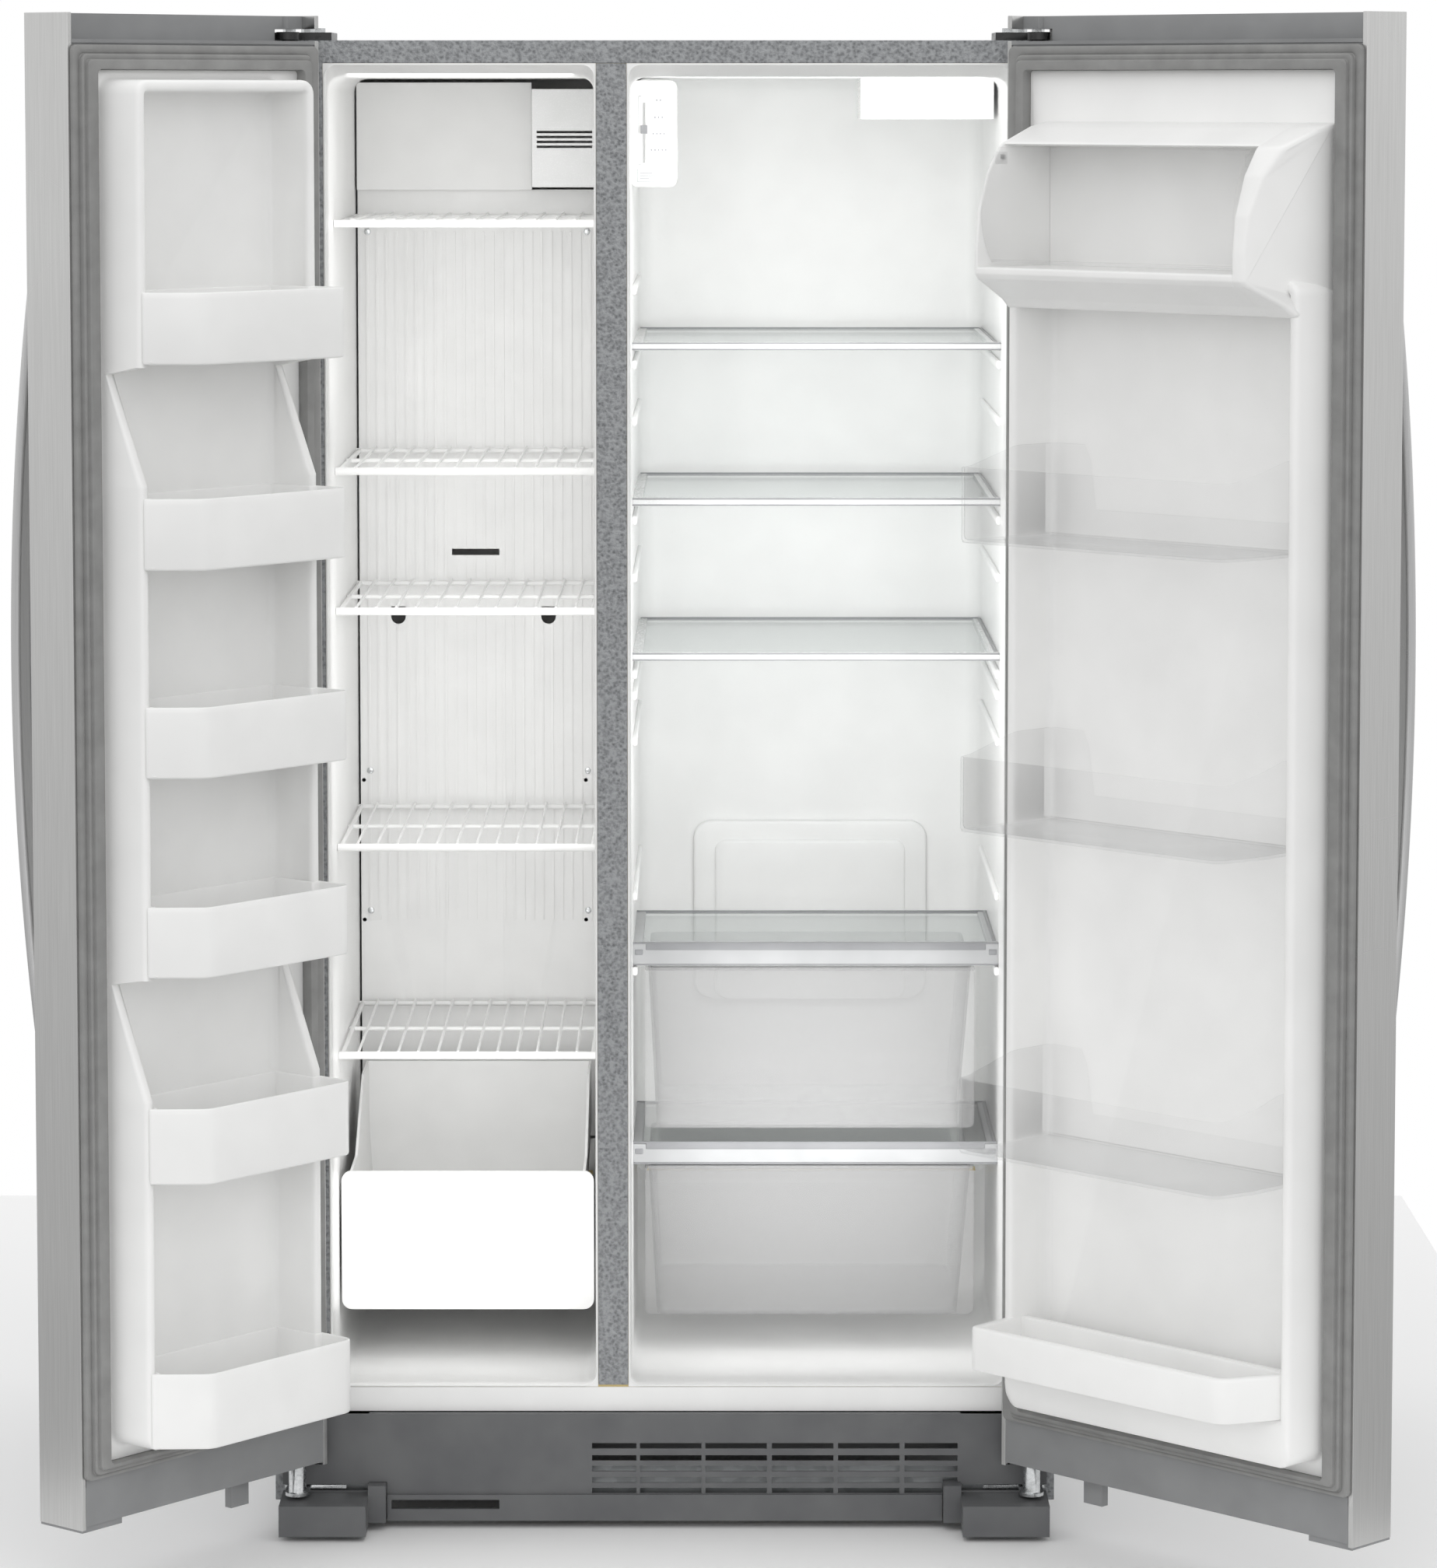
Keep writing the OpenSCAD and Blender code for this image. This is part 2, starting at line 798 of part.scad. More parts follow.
// Raised rim around the inner panel of a door, up to the height top, round a field from z[0] to z[1]
module dike_ring(d, top, z) {
    difference() {
        along_y(door_in, d[2]) polygon(round_rect([d[0], d[1]], [dike_low, top], 16));
        box([d[0] + dike_t, d[1] - dike_t], [door_in - 1, d[2] + 1], z);
    }
}

module door_panel(u1) {
    box([8.2, u1 - 33.2], [door_in - 1.4, door_in + 2], [liner_low + 0.2, liner_high - 0.2]);
}

module freezer_door_skin() {
    freezer_door_place() door_skin(freezer_u);
}

module freezer_door_foam() {
    freezer_door_place() door_foam(freezer_u);
}

module freezer_door_gasket() {
    freezer_door_place() door_gasket(freezer_u);
}

module freezer_door_caps() {
    freezer_door_place() door_caps(freezer_u);
}

module freezer_door_handle() {
    freezer_door_place() door_handle(freezer_u);
}

module freezer_door_liner() {
    color(abs_white) freezer_door_place() {
        door_panel(freezer_u);
        difference() {
            dike_ring(freezer_dike, freezer_dike_top, [freezer_bin_z[0] - 0.2, freezer_dike_top - 14]);
            // the rims lean back above the two tilted bins
            for (k = [1, 4]) {
                along_x(0, freezer_u)
                    polygon([
                        [freezer_dike[2], freezer_bin_z[k] + 92],
                        [freezer_dike[2] + 9, freezer_bin_z[k] + 92],
                        [freezer_dike[2] + 9, freezer_bin_z[k + 1] - 4], [30, freezer_bin_z[k + 1] - 4],
                        [30, freezer_bin_z[k + 1] - 12]
                    ]);
            }
        }
    }
}

// Fixed bin between the rims: u and v outline with one cut corner
function freezer_bin_outline(t) = let (d = freezer_dike) [
    [d[0] + dike_t + t, door_in + 2 + t], [d[0] + dike_t + t, d[2] + t], [d[0] + 2 + t, d[2] + t],
    [d[0] + 2 + t, freezer_bin_v - t], [272 - t * 0.4, freezer_bin_v - t], [d[1] - t, d[2] + t],
    [d[1] - dike_t - t, d[2] + t], [d[1] - dike_t - t, door_in + 2 + t]
];

module freezer_door_bins() {
    color(abs_white) freezer_door_place() for (k = [0:5]) {
        translate([0, 0, freezer_bin_z[k]]) difference() {
            linear_extrude((k < 2) ? 85 : 79) polygon(freezer_bin_outline(0));
            translate([0, 0, bin_wall]) linear_extrude(99) polygon(freezer_bin_outline(bin_wall));
        }
    }
}

module fridge_door_skin() {
    fridge_door_place() door_skin(fridge_u);
}

module fridge_door_foam() {
    fridge_door_place() door_foam(fridge_u);
}

module fridge_door_gasket() {
    fridge_door_place() door_gasket(fridge_u);
}

module fridge_door_caps() {
    fridge_door_place() door_caps(fridge_u);
}

module fridge_door_handle() {
    fridge_door_place() door_handle(fridge_u);
}

// Moulded box for butter and cheese: two thick ends, a floor with a lip, a roof and an open front.
// Its free end leans in from the rim's side face.
module dairy_box(d) {
    difference() {
        intersection() {
            along_x(d[0], d[1])
                polygon([
                    [door_in, 1436], [88, 1430], [100, 1441], [140, 1464], [145, 1469], [145, 1500],
                    [141, 1540], [126, 1583], [105, 1614], [53, 1634], [door_in, 1640]
                ]);
            translate([0, 0, 1400]) linear_extrude(300)
                polygon([[d[0], door_in], [d[0], 160], [d[1] - 36, 160], [d[1], d[2]], [d[1], door_in]]);
        }
        // the space inside, with room for the flap's upper edge to swing
        along_x(d[0] + 6, dairy_u[1] + 2)
            polygon([
                [27, dairy_z], [155, dairy_z], [155, 1650], [84, 1650], [84, 1612], [27, 1622]
            ]);
        rod_x(d[0] - 1, dairy_end - 10, dairy_pivot[0], dairy_pivot[1], dairy_pin_r + pin_clear);
    }
}

// The fridge door's liner carries the bottom bin and the dairy box
module fridge_door_liner() {
    d = fridge_dike;
    color(abs_white) fridge_door_place() {
        door_panel(fridge_u);
        difference() {
            dike_ring(d, 1470, [226, 1436]);
            box([d[0] + 20, d[1] - 20], [d[2] - 40, d[2] + 5], [186, 214]);
        }
        translate([0, 0, 225]) difference() {
            linear_extrude(50)
                polygon([[d[0], d[2] - 30], [d[0] + 4, 150], [407, 150], [d[1], d[2] - 30]]);
            translate([0, 0, 3]) linear_extrude(60)
                polygon([[d[0] + dike_t, d[2] - 40], [d[0] + dike_t, 147],
                    [405, 147], [d[1] - dike_t, d[2] - 40]]);
        }
        dairy_box(d);
    }
}

// Clear bin: both ends rise towards the rims, and the back is low
module clear_bin() {
    d = fridge_dike;
    u0 = d[0] + dike_t + 0.4;
    u1 = d[1] - dike_t - 0.4;
    v0 = door_in + 2.4;
    v1 = fridge_bin_v;
    difference() {
        linear_extrude(105)
            polygon([[u0, v0], [u0, v1], [425, v1], [u1, v1 - 60], [u1, v0]]);
        translate([0, 0, bin_wall]) linear_extrude(120)
            polygon([[u0 + 3, v0 + 3], [u0 + 3, v1 - 3], [423.5, v1 - 3],
                [u1 - 3, v1 - 61], [u1 - 3, v0 + 3]]);
        // front edge 85 high, ends that climb to the rims
        along_x(0, 500)
            polygon([[v1 + 1, 85], [v1 - 20, 85], [d[2], 105], [d[2], 130], [v1 + 1, 130]]);
        box([u0 + 62, u1 - 3], [v0 - 1, v0 + 12], [32, 120]);
    }
}

module fridge_door_bins() {
    color(clear_tint) fridge_door_place() for (z = clear_bin_z) {
        translate([0, 0, z]) clear_bin();
    }
}

// Curved flap over the dairy box, on two pins at its upper ends
module dairy_cover() {
    arc_v = 38;
    arc_z = 1540;
    arc_r = 103;
    color(clear_tint) fridge_door_place() {
        along_x(dairy_u[0], dairy_u[1])
            polygon(concat(
                [for (a = [-34:6:44]) [arc_v + arc_r * cos(a), arc_z + arc_r * sin(a)]],
                [for (a = [44:-6:-34]) [arc_v + (arc_r - 3) * cos(a), arc_z + (arc_r - 3) * sin(a)]]
            ));
        for (u = [dairy_u[0], dairy_u[1] - 3]) {
            box([u, u + 3], [99, 118], [1592, 1606]);
        }
        rod_x(fridge_dike[0] + 0.5, dairy_u[0] + 2, dairy_pivot[0], dairy_pivot[1], dairy_pin_r);
        rod_x(dairy_u[1] - 2, dairy_end - 10.5, dairy_pivot[0], dairy_pivot[1], dairy_pin_r);
    }
}

cabinet_wrapper();
cabinet_foam();
freezer_liner();
fridge_liner();
mullion_trim();
front_sill();
back_panel();
machine_cover();
base_frame();
base_grille();
hinge_covers();
leveling_feet();
roller_brackets();
left_rear_roller();
right_rear_roller();
top_hinges();
bottom_hinges();
hinge_bolts();
compressor();
condenser();
condenser_fan_motor();
condenser_fan();
drain_pan();
refrigerant_lines();
power_inlet();
evaporator();
evaporator_cover();
evaporator_fan_motor();
evaporator_fan();
wire_shelf_1();
wire_shelf_2();
wire_shelf_3();
wire_shelf_4();
wire_shelf_5();
freezer_basket();
freezer_light_cover();
shelf_frames();
shelf_glass();
crisper_shelf_frames();
crisper_shelf_glass();
upper_crisper();
lower_crisper();
control_housing();
temperature_slider();
fridge_light_cover();
freezer_door_skin();
freezer_door_foam();
freezer_door_liner();
freezer_door_gasket();
freezer_door_caps();
freezer_door_handle();
freezer_door_bins();
fridge_door_skin();
fridge_door_foam();
fridge_door_liner();
fridge_door_gasket();
fridge_door_caps();
fridge_door_handle();
fridge_door_bins();
dairy_cover();
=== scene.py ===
import math

import bmesh
import bpy
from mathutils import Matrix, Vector


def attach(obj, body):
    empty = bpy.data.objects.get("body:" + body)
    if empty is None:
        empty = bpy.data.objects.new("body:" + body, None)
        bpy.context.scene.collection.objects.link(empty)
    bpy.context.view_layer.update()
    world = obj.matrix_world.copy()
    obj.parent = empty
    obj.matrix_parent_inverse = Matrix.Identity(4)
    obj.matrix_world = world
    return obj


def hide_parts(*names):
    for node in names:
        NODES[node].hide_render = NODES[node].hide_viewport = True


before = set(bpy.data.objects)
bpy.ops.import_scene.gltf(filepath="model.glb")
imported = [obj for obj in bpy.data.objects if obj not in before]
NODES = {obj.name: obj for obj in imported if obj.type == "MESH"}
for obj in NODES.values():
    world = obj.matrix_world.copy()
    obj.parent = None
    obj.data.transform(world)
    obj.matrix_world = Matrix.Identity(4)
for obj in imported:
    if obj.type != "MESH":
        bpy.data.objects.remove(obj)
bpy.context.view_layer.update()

# Sizes shared with the part's source, in millimetres
PIN_X, PIN_Y = 427, -37
FREEZER_X, FRIDGE_X = (-388, -80), (-40, 397)
FLOOR_Z, CEILING_Z, CEILING_DROP = 167, 1703, 13
DOOR_OUT = -49
FREEZER_U, FRIDGE_U = 361, 489
FREEZER_DIKE, FRIDGE_DIKE = (43, 318, 85), (33, 450, 87)
DIKE_Z = (171, 1686)
WIRE_Z = (542, 790, 1070, 1235, 1525)
GLASS_Z = (1008, 1192, 1376)
GLASS_BACK = 617
CRISPER_SHELF_Z, CRISPER_SHELF_BACK = (658, 418), 450
FREEZER_BIN_Z = (174, 471, 701, 922, 1151, 1376)
CLEAR_BIN_Z = (481, 846, 1171)
FREEZER_FRONT, FRIDGE_FRONT, SHELF_BACK = 108, 156, 484


# ---------- places: millimetres in a piece's own frame, metres in the shared one ----------

def in_cabinet(p):
    return Vector(p) / 1000


def in_freezer_door(p):
    u, v, z = p
    c, s = math.cos(math.radians(130)), math.sin(math.radians(130))
    return Vector((-PIN_X + u * c + v * s, PIN_Y - u * s + v * c, z)) / 1000


def in_fridge_door(p):
    u, v, z = p
    k = math.sqrt(0.5)
    return Vector((PIN_X + k * (u - v), PIN_Y - k * (u + v), z)) / 1000


# ---------- outlines ----------

def rounded_loop(x, z, r, levels=(), steps=6):
    """Rectangle with round corners, as points that run from its lower right corner round to its lower left.
    levels are extra heights along both upright sides, given from low to high."""
    r = max(r, 0.05)
    corners = ((x[1] - r, z[0] + r, -90), (x[1] - r, z[1] - r, 0), (x[0] + r, z[1] - r, 90),
               (x[0] + r, z[0] + r, 180))
    loop = []
    for k, (cx, cz, turn) in enumerate(corners):
        for i in range(steps + 1):
            a = math.radians(turn + 90 * i / steps)
            loop.append((cx + r * math.cos(a), cz + r * math.sin(a)))
        if k == 0:
            loop += [(x[1], min(max(h, z[0] + r), z[1] - r)) for h in levels]
        if k == 2:
            loop += [(x[0], min(max(h, z[0] + r), z[1] - r)) for h in reversed(levels)]
    return loop


def round_corners(points, radii, steps=4):
    """Closed outline with each corner turned into an arc of its own radius."""
    out = []
    n = len(points)
    for k, p in enumerate(points):
        p, a, b = Vector(p), Vector(points[k - 1]), Vector(points[(k + 1) % n])
        to_a, to_b = (a - p).normalized(), (b - p).normalized()
        half = to_a.angle(to_b) / 2
        cut = min(radii[k] / math.tan(half), 0.45 * (a - p).length, 0.45 * (b - p).length)
        start, end = p + to_a * cut, p + to_b * cut
        for i in range(steps + 1):
            t = i / steps
            out.append(tuple(start * (1 - t) ** 2 + p * 2 * t * (1 - t) + end * t * t))
    return out


def inset(loop, d):
    """Closed outline moved inwards by d, each point along the mean of its two edge normals."""
    out = []
    n = len(loop)
    area = sum(loop[k - 1][0] * loop[k][1] - loop[k][0] * loop[k - 1][1] for k in range(n))
    side = 1 if area > 0 else -1
    for k in range(n):
        p, a, b = Vector(loop[k]), Vector(loop[k - 1]), Vector(loop[(k + 1) % n])
        e1, e2 = (p - a), (b - p)
        e1 = e1.normalized() if e1.length > 1e-6 else e2.normalized()
        e2 = e2.normalized() if e2.length > 1e-6 else e1
        n1, n2 = Vector((-e1.y, e1.x)) * side, Vector((-e2.y, e2.x)) * side
        m = n1 + n2
        m = m.normalized() if m.length > 1e-6 else n1
        out.append(tuple(p + m * d / max(0.5, m.dot(n1))))
    return out


# ---------- meshes: a solid is (points, faces), in millimetres ----------

def loft(loops, ring=False):
    """Skin over loops with the same number of points. The two ends are filled, unless it closes on itself."""
    n = len(loops[0])
    points = [tuple(p) for loop in loops for p in loop]
    faces = []
    for k in range(len(loops) if ring else len(loops) - 1):
        a, b = k * n, ((k + 1) % len(loops)) * n
        faces += [(a + i, a + (i + 1) % n, b + (i + 1) % n, b + i) for i in range(n)]
    if not ring:
        faces.append(tuple(range(n - 1, -1, -1)))
        faces.append(tuple(range((len(loops) - 1) * n, len(loops) * n)))
    return points, faces


def block(x, y, z, r=0):
    """Box, with its edges rounded by r."""
    if r <= 0:
        return loft([[(a, b, h) for a, b in ((x[0], y[0]), (x[1], y[0]), (x[1], y[1]), (x[0], y[1]))]
                     for h in z])
    loops = []
    for end in (0, 1):
        for i in range(4):
            a = math.radians(30 * i if end == 0 else 90 - 30 * i)
            d = r * (1 - math.sin(a))
            h = z[0] + r * (1 - math.cos(a)) if end == 0 else z[1] - r * (1 - math.cos(a))
            loops.append([(p[0], p[1], h) for p in rounded_loop((x[0] + d, x[1] - d), (y[0] + d, y[1] - d),
                                                                max(r - d, 0.05), steps=3)])
    return loft(loops)


def tube(path, r, sides=10):
    """Round bar along a path of points, with flat ends."""
    path = [Vector(p) for p in path]
    turns = [2 * math.pi * i / sides for i in range(sides)]
    loops = []
    up = None
    for k, p in enumerate(path):
        ahead = path[min(k + 1, len(path) - 1)] - path[max(k - 1, 0)]
        ahead.normalize()
        if up is None:
            up = Vector((0, 0, 1)) if abs(ahead.z) < 0.9 else Vector((0, 1, 0))
        across = ahead.cross(up).normalized()
        up = across.cross(ahead).normalized()
        loops.append([tuple(p + across * r * math.cos(a) + up * r * math.sin(a)) for a in turns])
    return loft(loops)


def join(*solids):
    points, faces = [], []
    for p, f in solids:
        base = len(points)
        points += p
        faces += [tuple(i + base for i in face) for face in f]
    return points, faces


def solid_mesh(name, solid, place=in_cabinet, weld=0):
    """Mesh of a solid, with its place in its points. Points closer than weld, in metres, become one."""
    mesh = bpy.data.meshes.new(name)
    mesh.from_pydata([place(p) for p in solid[0]], [], solid[1])
    bm = bmesh.new()
    bm.from_mesh(mesh)
    if weld:
        bmesh.ops.remove_doubles(bm, verts=bm.verts, dist=weld)
    bmesh.ops.recalc_face_normals(bm, faces=bm.faces)
    bm.to_mesh(mesh)
    bm.free()
    return mesh


def mesh_piece(name, solid, place, body, material, replaces=(), sharp=40):
    """Makes an object from a solid and hands it to the frame."""
    hand_over(name, solid_mesh(name, solid, place, 2e-6), body, material, replaces, sharp=sharp)


def hand_over(name, mesh, body, material, replaces=(), bevel=0, sharp=40, segments=3):
    """Makes an object from a mesh, gives it its material, and tells the frame what it rides and replaces."""
    mesh.materials.clear()
    mesh.materials.append(material)
    mesh.shade_smooth()
    mesh.set_sharp_from_angle(angle=math.radians(sharp))
    piece = bpy.data.objects.new(name, mesh)
    bpy.context.scene.collection.objects.link(piece)
    if bevel:
        edge = piece.modifiers.new("rounded edges", "BEVEL")
        edge.width = bevel / 1000
        edge.segments = segments
        edge.limit_method = "ANGLE"
        edge.angle_limit = math.radians(30)
        edge.harden_normals = True
    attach(piece, body)
    if replaces:
        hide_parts(*replaces)


def softened(node, name, body, material, bevel, segments=3, shape=None):
    """Copy of a CAD node with its edges rounded off. shape may change the mesh before that."""
    mesh = NODES[node].data.copy()
    bm = bmesh.new()
    bm.from_mesh(mesh)
    bmesh.ops.remove_doubles(bm, verts=bm.verts, dist=1e-5)
    bmesh.ops.dissolve_limit(bm, angle_limit=math.radians(0.5), verts=bm.verts, edges=bm.edges)
    if shape:
        shape(bm)
    bm.to_mesh(mesh)
    bm.free()
    hand_over(name, mesh, body, material, (node,), bevel, 35, segments)


# ---------- materials ----------

def linear(hex_text):
    """sRGB hex text to linear colour, with alpha 1."""
    values = [int(hex_text[i:i + 2], 16) / 255 for i in (1, 3, 5)]
    return tuple(c / 12.92 if c <= 0.04045 else ((c + 0.055) / 1.055) ** 2.4 for c in values) + (1.0,)


def add(tree, kind, settings=None, **inputs):
    """Adds a node with its properties, then sets or links its inputs by name. Underscores are spaces."""
    node = tree.nodes.new(kind)
    for key, value in (settings or {}).items():
        setattr(node, key, value)
    for key, value in inputs.items():
        socket = next(s for s in node.inputs if s.name == key.replace("_", " ") and s.enabled)
        if isinstance(value, bpy.types.NodeSocket):
            tree.links.new(value, socket)
        else:
            socket.default_value = value
    return node


def start_material(name):
    """New material with only an output, and its Object coordinates."""
    mat = bpy.data.materials.new(name)
    mat.use_nodes = True
    tree = mat.node_tree
    tree.nodes.clear()
    out = tree.nodes.new("ShaderNodeOutputMaterial")
    place = tree.nodes.new("ShaderNodeTexCoord").outputs["Object"]
    return mat, tree, out, place


def moulded(name, dark, light, rough, grain_mm, grain_depth, wave_mm=60, wave_depth=0.00015):
    """Moulded or formed plastic: slow colour drift, slow waves in the surface, and a fine grain."""
    mat, tree, out, place = start_material(name)
    wave = add(tree, "ShaderNodeTexNoise", None, Vector=place, Scale=1000 / wave_mm, Detail=2.0,
               Roughness=0.5)
    grain = add(tree, "ShaderNodeTexNoise", None, Vector=place, Scale=1000 / grain_mm, Detail=3.0,
                Roughness=0.6)
    low = add(tree, "ShaderNodeBump", None, Height=wave.outputs["Fac"], Distance=wave_depth, Strength=0.6)
    fine = add(tree, "ShaderNodeBump", None, Height=grain.outputs["Fac"], Distance=grain_depth,
               Strength=0.5, Normal=low.outputs["Normal"])
    drift = add(tree, "ShaderNodeMapRange", None, Value=wave.outputs["Fac"], From_Min=0.3, From_Max=0.7)
    colour = add(tree, "ShaderNodeMix", {"data_type": "RGBA"}, Factor=drift.outputs["Result"],
                 A=linear(dark), B=linear(light))
    gloss = add(tree, "ShaderNodeMapRange", None, Value=grain.outputs["Fac"], From_Min=0.3, From_Max=0.7,
                To_Min=rough - 0.05, To_Max=rough + 0.06)
    shade = add(tree, "ShaderNodeBsdfPrincipled", None, Base_Color=colour.outputs[2],
                Roughness=gloss.outputs["Result"], Normal=fine.outputs["Normal"])
    tree.links.new(shade.outputs["BSDF"], out.inputs["Surface"])
    return mat


def clear_sheet(name, tint, edge_tint, rough, body, edge):
    """Clear moulding or glass, thin enough not to bend what is behind it: more solid where seen edge on,
    with a faint flow pattern in its gloss."""
    mat, tree, out, place = start_material(name)
    flow = add(tree, "ShaderNodeTexNoise", None, Vector=place, Scale=22.0, Detail=2.0)
    bump = add(tree, "ShaderNodeBump", None, Height=flow.outputs["Fac"], Distance=0.0004, Strength=0.5)
    rim = add(tree, "ShaderNodeLayerWeight", None, Blend=0.45)
    deep = add(tree, "ShaderNodeMapRange", None, Value=rim.outputs["Facing"], From_Min=0.2, From_Max=0.95)
    colour = add(tree, "ShaderNodeMix", {"data_type": "RGBA"}, Factor=deep.outputs["Result"],
                 A=linear(tint), B=linear(edge_tint))
    gloss = add(tree, "ShaderNodeMapRange", None, Value=flow.outputs["Fac"], From_Min=0.3, From_Max=0.7,
                To_Min=rough * 0.7, To_Max=rough * 1.4)
    solid = add(tree, "ShaderNodeBsdfPrincipled", None, Base_Color=colour.outputs[2],
                Roughness=gloss.outputs["Result"], IOR=1.49, Normal=bump.outputs["Normal"])
    see = add(tree, "ShaderNodeBsdfTransparent", None, Color=linear(tint))
    cover = add(tree, "ShaderNodeMapRange", None, Value=rim.outputs["Facing"], From_Min=0.5, From_Max=1.0,
                To_Min=body, To_Max=edge)
    mix = add(tree, "ShaderNodeMixShader", None, Fac=cover.outputs["Result"])
    tree.links.new(see.outputs["BSDF"], mix.inputs[1])
    tree.links.new(solid.outputs["BSDF"], mix.inputs[2])
    tree.links.new(mix.outputs["Shader"], out.inputs["Surface"])
    return mat


# Vacuum-formed high-impact polystyrene: bright, smooth, with the slow waviness of a drawn sheet
LINER = moulded("vacuum-formed polystyrene", "#f3f3f2", "#f8f8f7", 0.32, 1.6, 0.00003, wave_mm=90,
                wave_depth=0.0004)
# Injection-moulded ABS with a satin tool finish: drawers, covers and shelf rims
WHITE_ABS = moulded("satin white ABS", "#f1f1f0", "#f6f6f5", 0.4, 1.2, 0.00004, wave_mm=70,
                    wave_depth=0.0002)
# Injection-moulded polypropylene with a spark-eroded texture, drawn at 1.5 mm so that it shows
DARK_PP = moulded("textured dark grey polypropylene", "#5c5d5f", "#676869", 0.5, 1.5, 0.00012)
# The doors' end caps: the same moulding in a lighter grey, a little glossier
CAP_GREY = moulded("satin grey door cap plastic", "#858687", "#8e8f90", 0.42, 1.4, 0.00008)
# Soft PVC seal: even grey, matt, with faint dusty streaks
SEAL = moulded("soft grey PVC seal", "#868685", "#929291", 0.55, 2.5, 0.00005, wave_mm=25)
# Hard black rubber
RUBBER = moulded("black rubber", "#171717", "#222222", 0.7, 2.0, 0.0001)
# Gloss black plastic of the lead gland
BLACK_NYLON = moulded("black nylon", "#151516", "#1d1d1e", 0.38, 1.5, 0.00004)
# Grey knob and printed grey marks
KNOB_GREY = moulded("grey slider knob plastic", "#8f9092", "#9c9d9f", 0.35, 1.5, 0.00004)
PRINT_GREY = moulded("grey pad print", "#8d8f92", "#9a9ca0", 0.5, 1.0, 0.00001)
# The light diffusers: milky polycarbonate
DIFFUSER = moulded("milky polycarbonate", "#f3f4f3", "#fafafa", 0.25, 2.0, 0.00003)
# Trim strip on the crispers' front edges
TRIM_GREY = moulded("satin grey trim plastic", "#a9aaab", "#b4b5b6", 0.33, 1.6, 0.00004)
# Light rail of the glass shelves, and a darker grey used for painted shade along the panes' edges and for the
# crisper shelves' dark front strips
RAIL_GREY = moulded("pale grey shelf rail plastic", "#d2d3d3", "#dcdddd", 0.25, 1.6, 0.00003)
DARK_TRIM_AND_EDGE_SHADE = moulded("dark trim plastic and painted edge shade", "#858688", "#909193", 0.35, 1.6, 0.00003)
# Rigid foam, hidden: open cells
FOAM = moulded("polyurethane foam", "#d9c48d", "#e6d5a4", 0.9, 3.0, 0.0004)

# Float glass with ground edges, for the shelves
SHELF_GLASS = clear_sheet("tempered shelf glass", "#fdfefe", "#b4bab8", 0.03, 0.04, 0.45)
# Injection-moulded crystal polystyrene: the door bins and the dairy flap
CLEAR_STYRENE = clear_sheet("clear crystal polystyrene", "#fefefe", "#c6c8c9", 0.06, 0.03, 0.35)
# The same plastic, thicker and a little hazy: the crispers
CRISPER_CLEAR = clear_sheet("frosty clear polystyrene", "#fdfdfd", "#b4b6b7", 0.12, 0.10, 0.5)


def textured_paint():
    """Cabinet paint: a leather grain of 3 mm pits pressed in the sheet, light grey, darker in the hollows as
    painted shade, with a random tone from the fine grain.
    """
    mat, tree, out, place = start_material("leather-grain cabinet paint")
    pits = add(tree, "ShaderNodeTexVoronoi", {"feature": "SMOOTH_F1"}, Vector=place, Scale=210.0,
               Smoothness=0.6)
    grain = add(tree, "ShaderNodeTexNoise", None, Vector=place, Scale=300.0, Detail=3.0, Roughness=0.65)
    both = add(tree, "ShaderNodeMath", {"operation": "MULTIPLY_ADD"})
    tree.links.new(pits.outputs["Distance"], both.inputs[0])
    both.inputs[1].default_value = 0.6
    tree.links.new(grain.outputs["Fac"], both.inputs[2])
    bump = add(tree, "ShaderNodeBump", None, Height=both.outputs["Value"], Distance=0.0012, Strength=0.8)
    # Painted shade: the colour darkens with the depth of the pits, and varies at random with the grain
    drift = add(tree, "ShaderNodeMapRange", None, Value=both.outputs["Value"], From_Min=0.45, From_Max=0.95)
    colour = add(tree, "ShaderNodeMix", {"data_type": "RGBA"}, Factor=drift.outputs["Result"],
                 A=linear("#6c6e70"), B=linear("#a0a2a4"))
    gloss = add(tree, "ShaderNodeMapRange", None, Value=grain.outputs["Fac"], From_Min=0.3, From_Max=0.7,
                To_Min=0.34, To_Max=0.5)
    shade = add(tree, "ShaderNodeBsdfPrincipled", None, Base_Color=colour.outputs[2],
                Roughness=gloss.outputs["Result"], Metallic=0.35, Normal=bump.outputs["Normal"])
    tree.links.new(shade.outputs["BSDF"], out.inputs["Surface"])
    return mat


def brushed(name, dark, light, rough):
    """Brushed metal: long fine scratches along Z, in colour, gloss and relief."""
    mat, tree, out, place = start_material(name)
    turned = add(tree, "ShaderNodeMapping", None, Vector=place, Scale=(1, 1, 0.012))
    lines = add(tree, "ShaderNodeTexNoise", None, Vector=turned.outputs["Vector"], Scale=700.0, Detail=3.0,
                Roughness=0.7)
    slow = add(tree, "ShaderNodeTexNoise", None, Vector=place, Scale=3.0, Detail=1.0)
    bump = add(tree, "ShaderNodeBump", None, Height=lines.outputs["Fac"], Distance=0.0001, Strength=0.35)
    streak = add(tree, "ShaderNodeMapRange", None, Value=lines.outputs["Fac"], From_Min=0.25, From_Max=0.75)
    colour = add(tree, "ShaderNodeMix", {"data_type": "RGBA"}, Factor=streak.outputs["Result"],
                 A=linear(dark), B=linear(light))
    gloss = add(tree, "ShaderNodeMapRange", None, Value=slow.outputs["Fac"], From_Min=0.3, From_Max=0.7,
                To_Min=rough - 0.04, To_Max=rough + 0.05)
    shade = add(tree, "ShaderNodeBsdfPrincipled", None, Base_Color=colour.outputs[2],
                Roughness=gloss.outputs["Result"], Metallic=1.0, Normal=bump.outputs["Normal"])
    tree.links.new(shade.outputs["BSDF"], out.inputs["Surface"])
    return mat


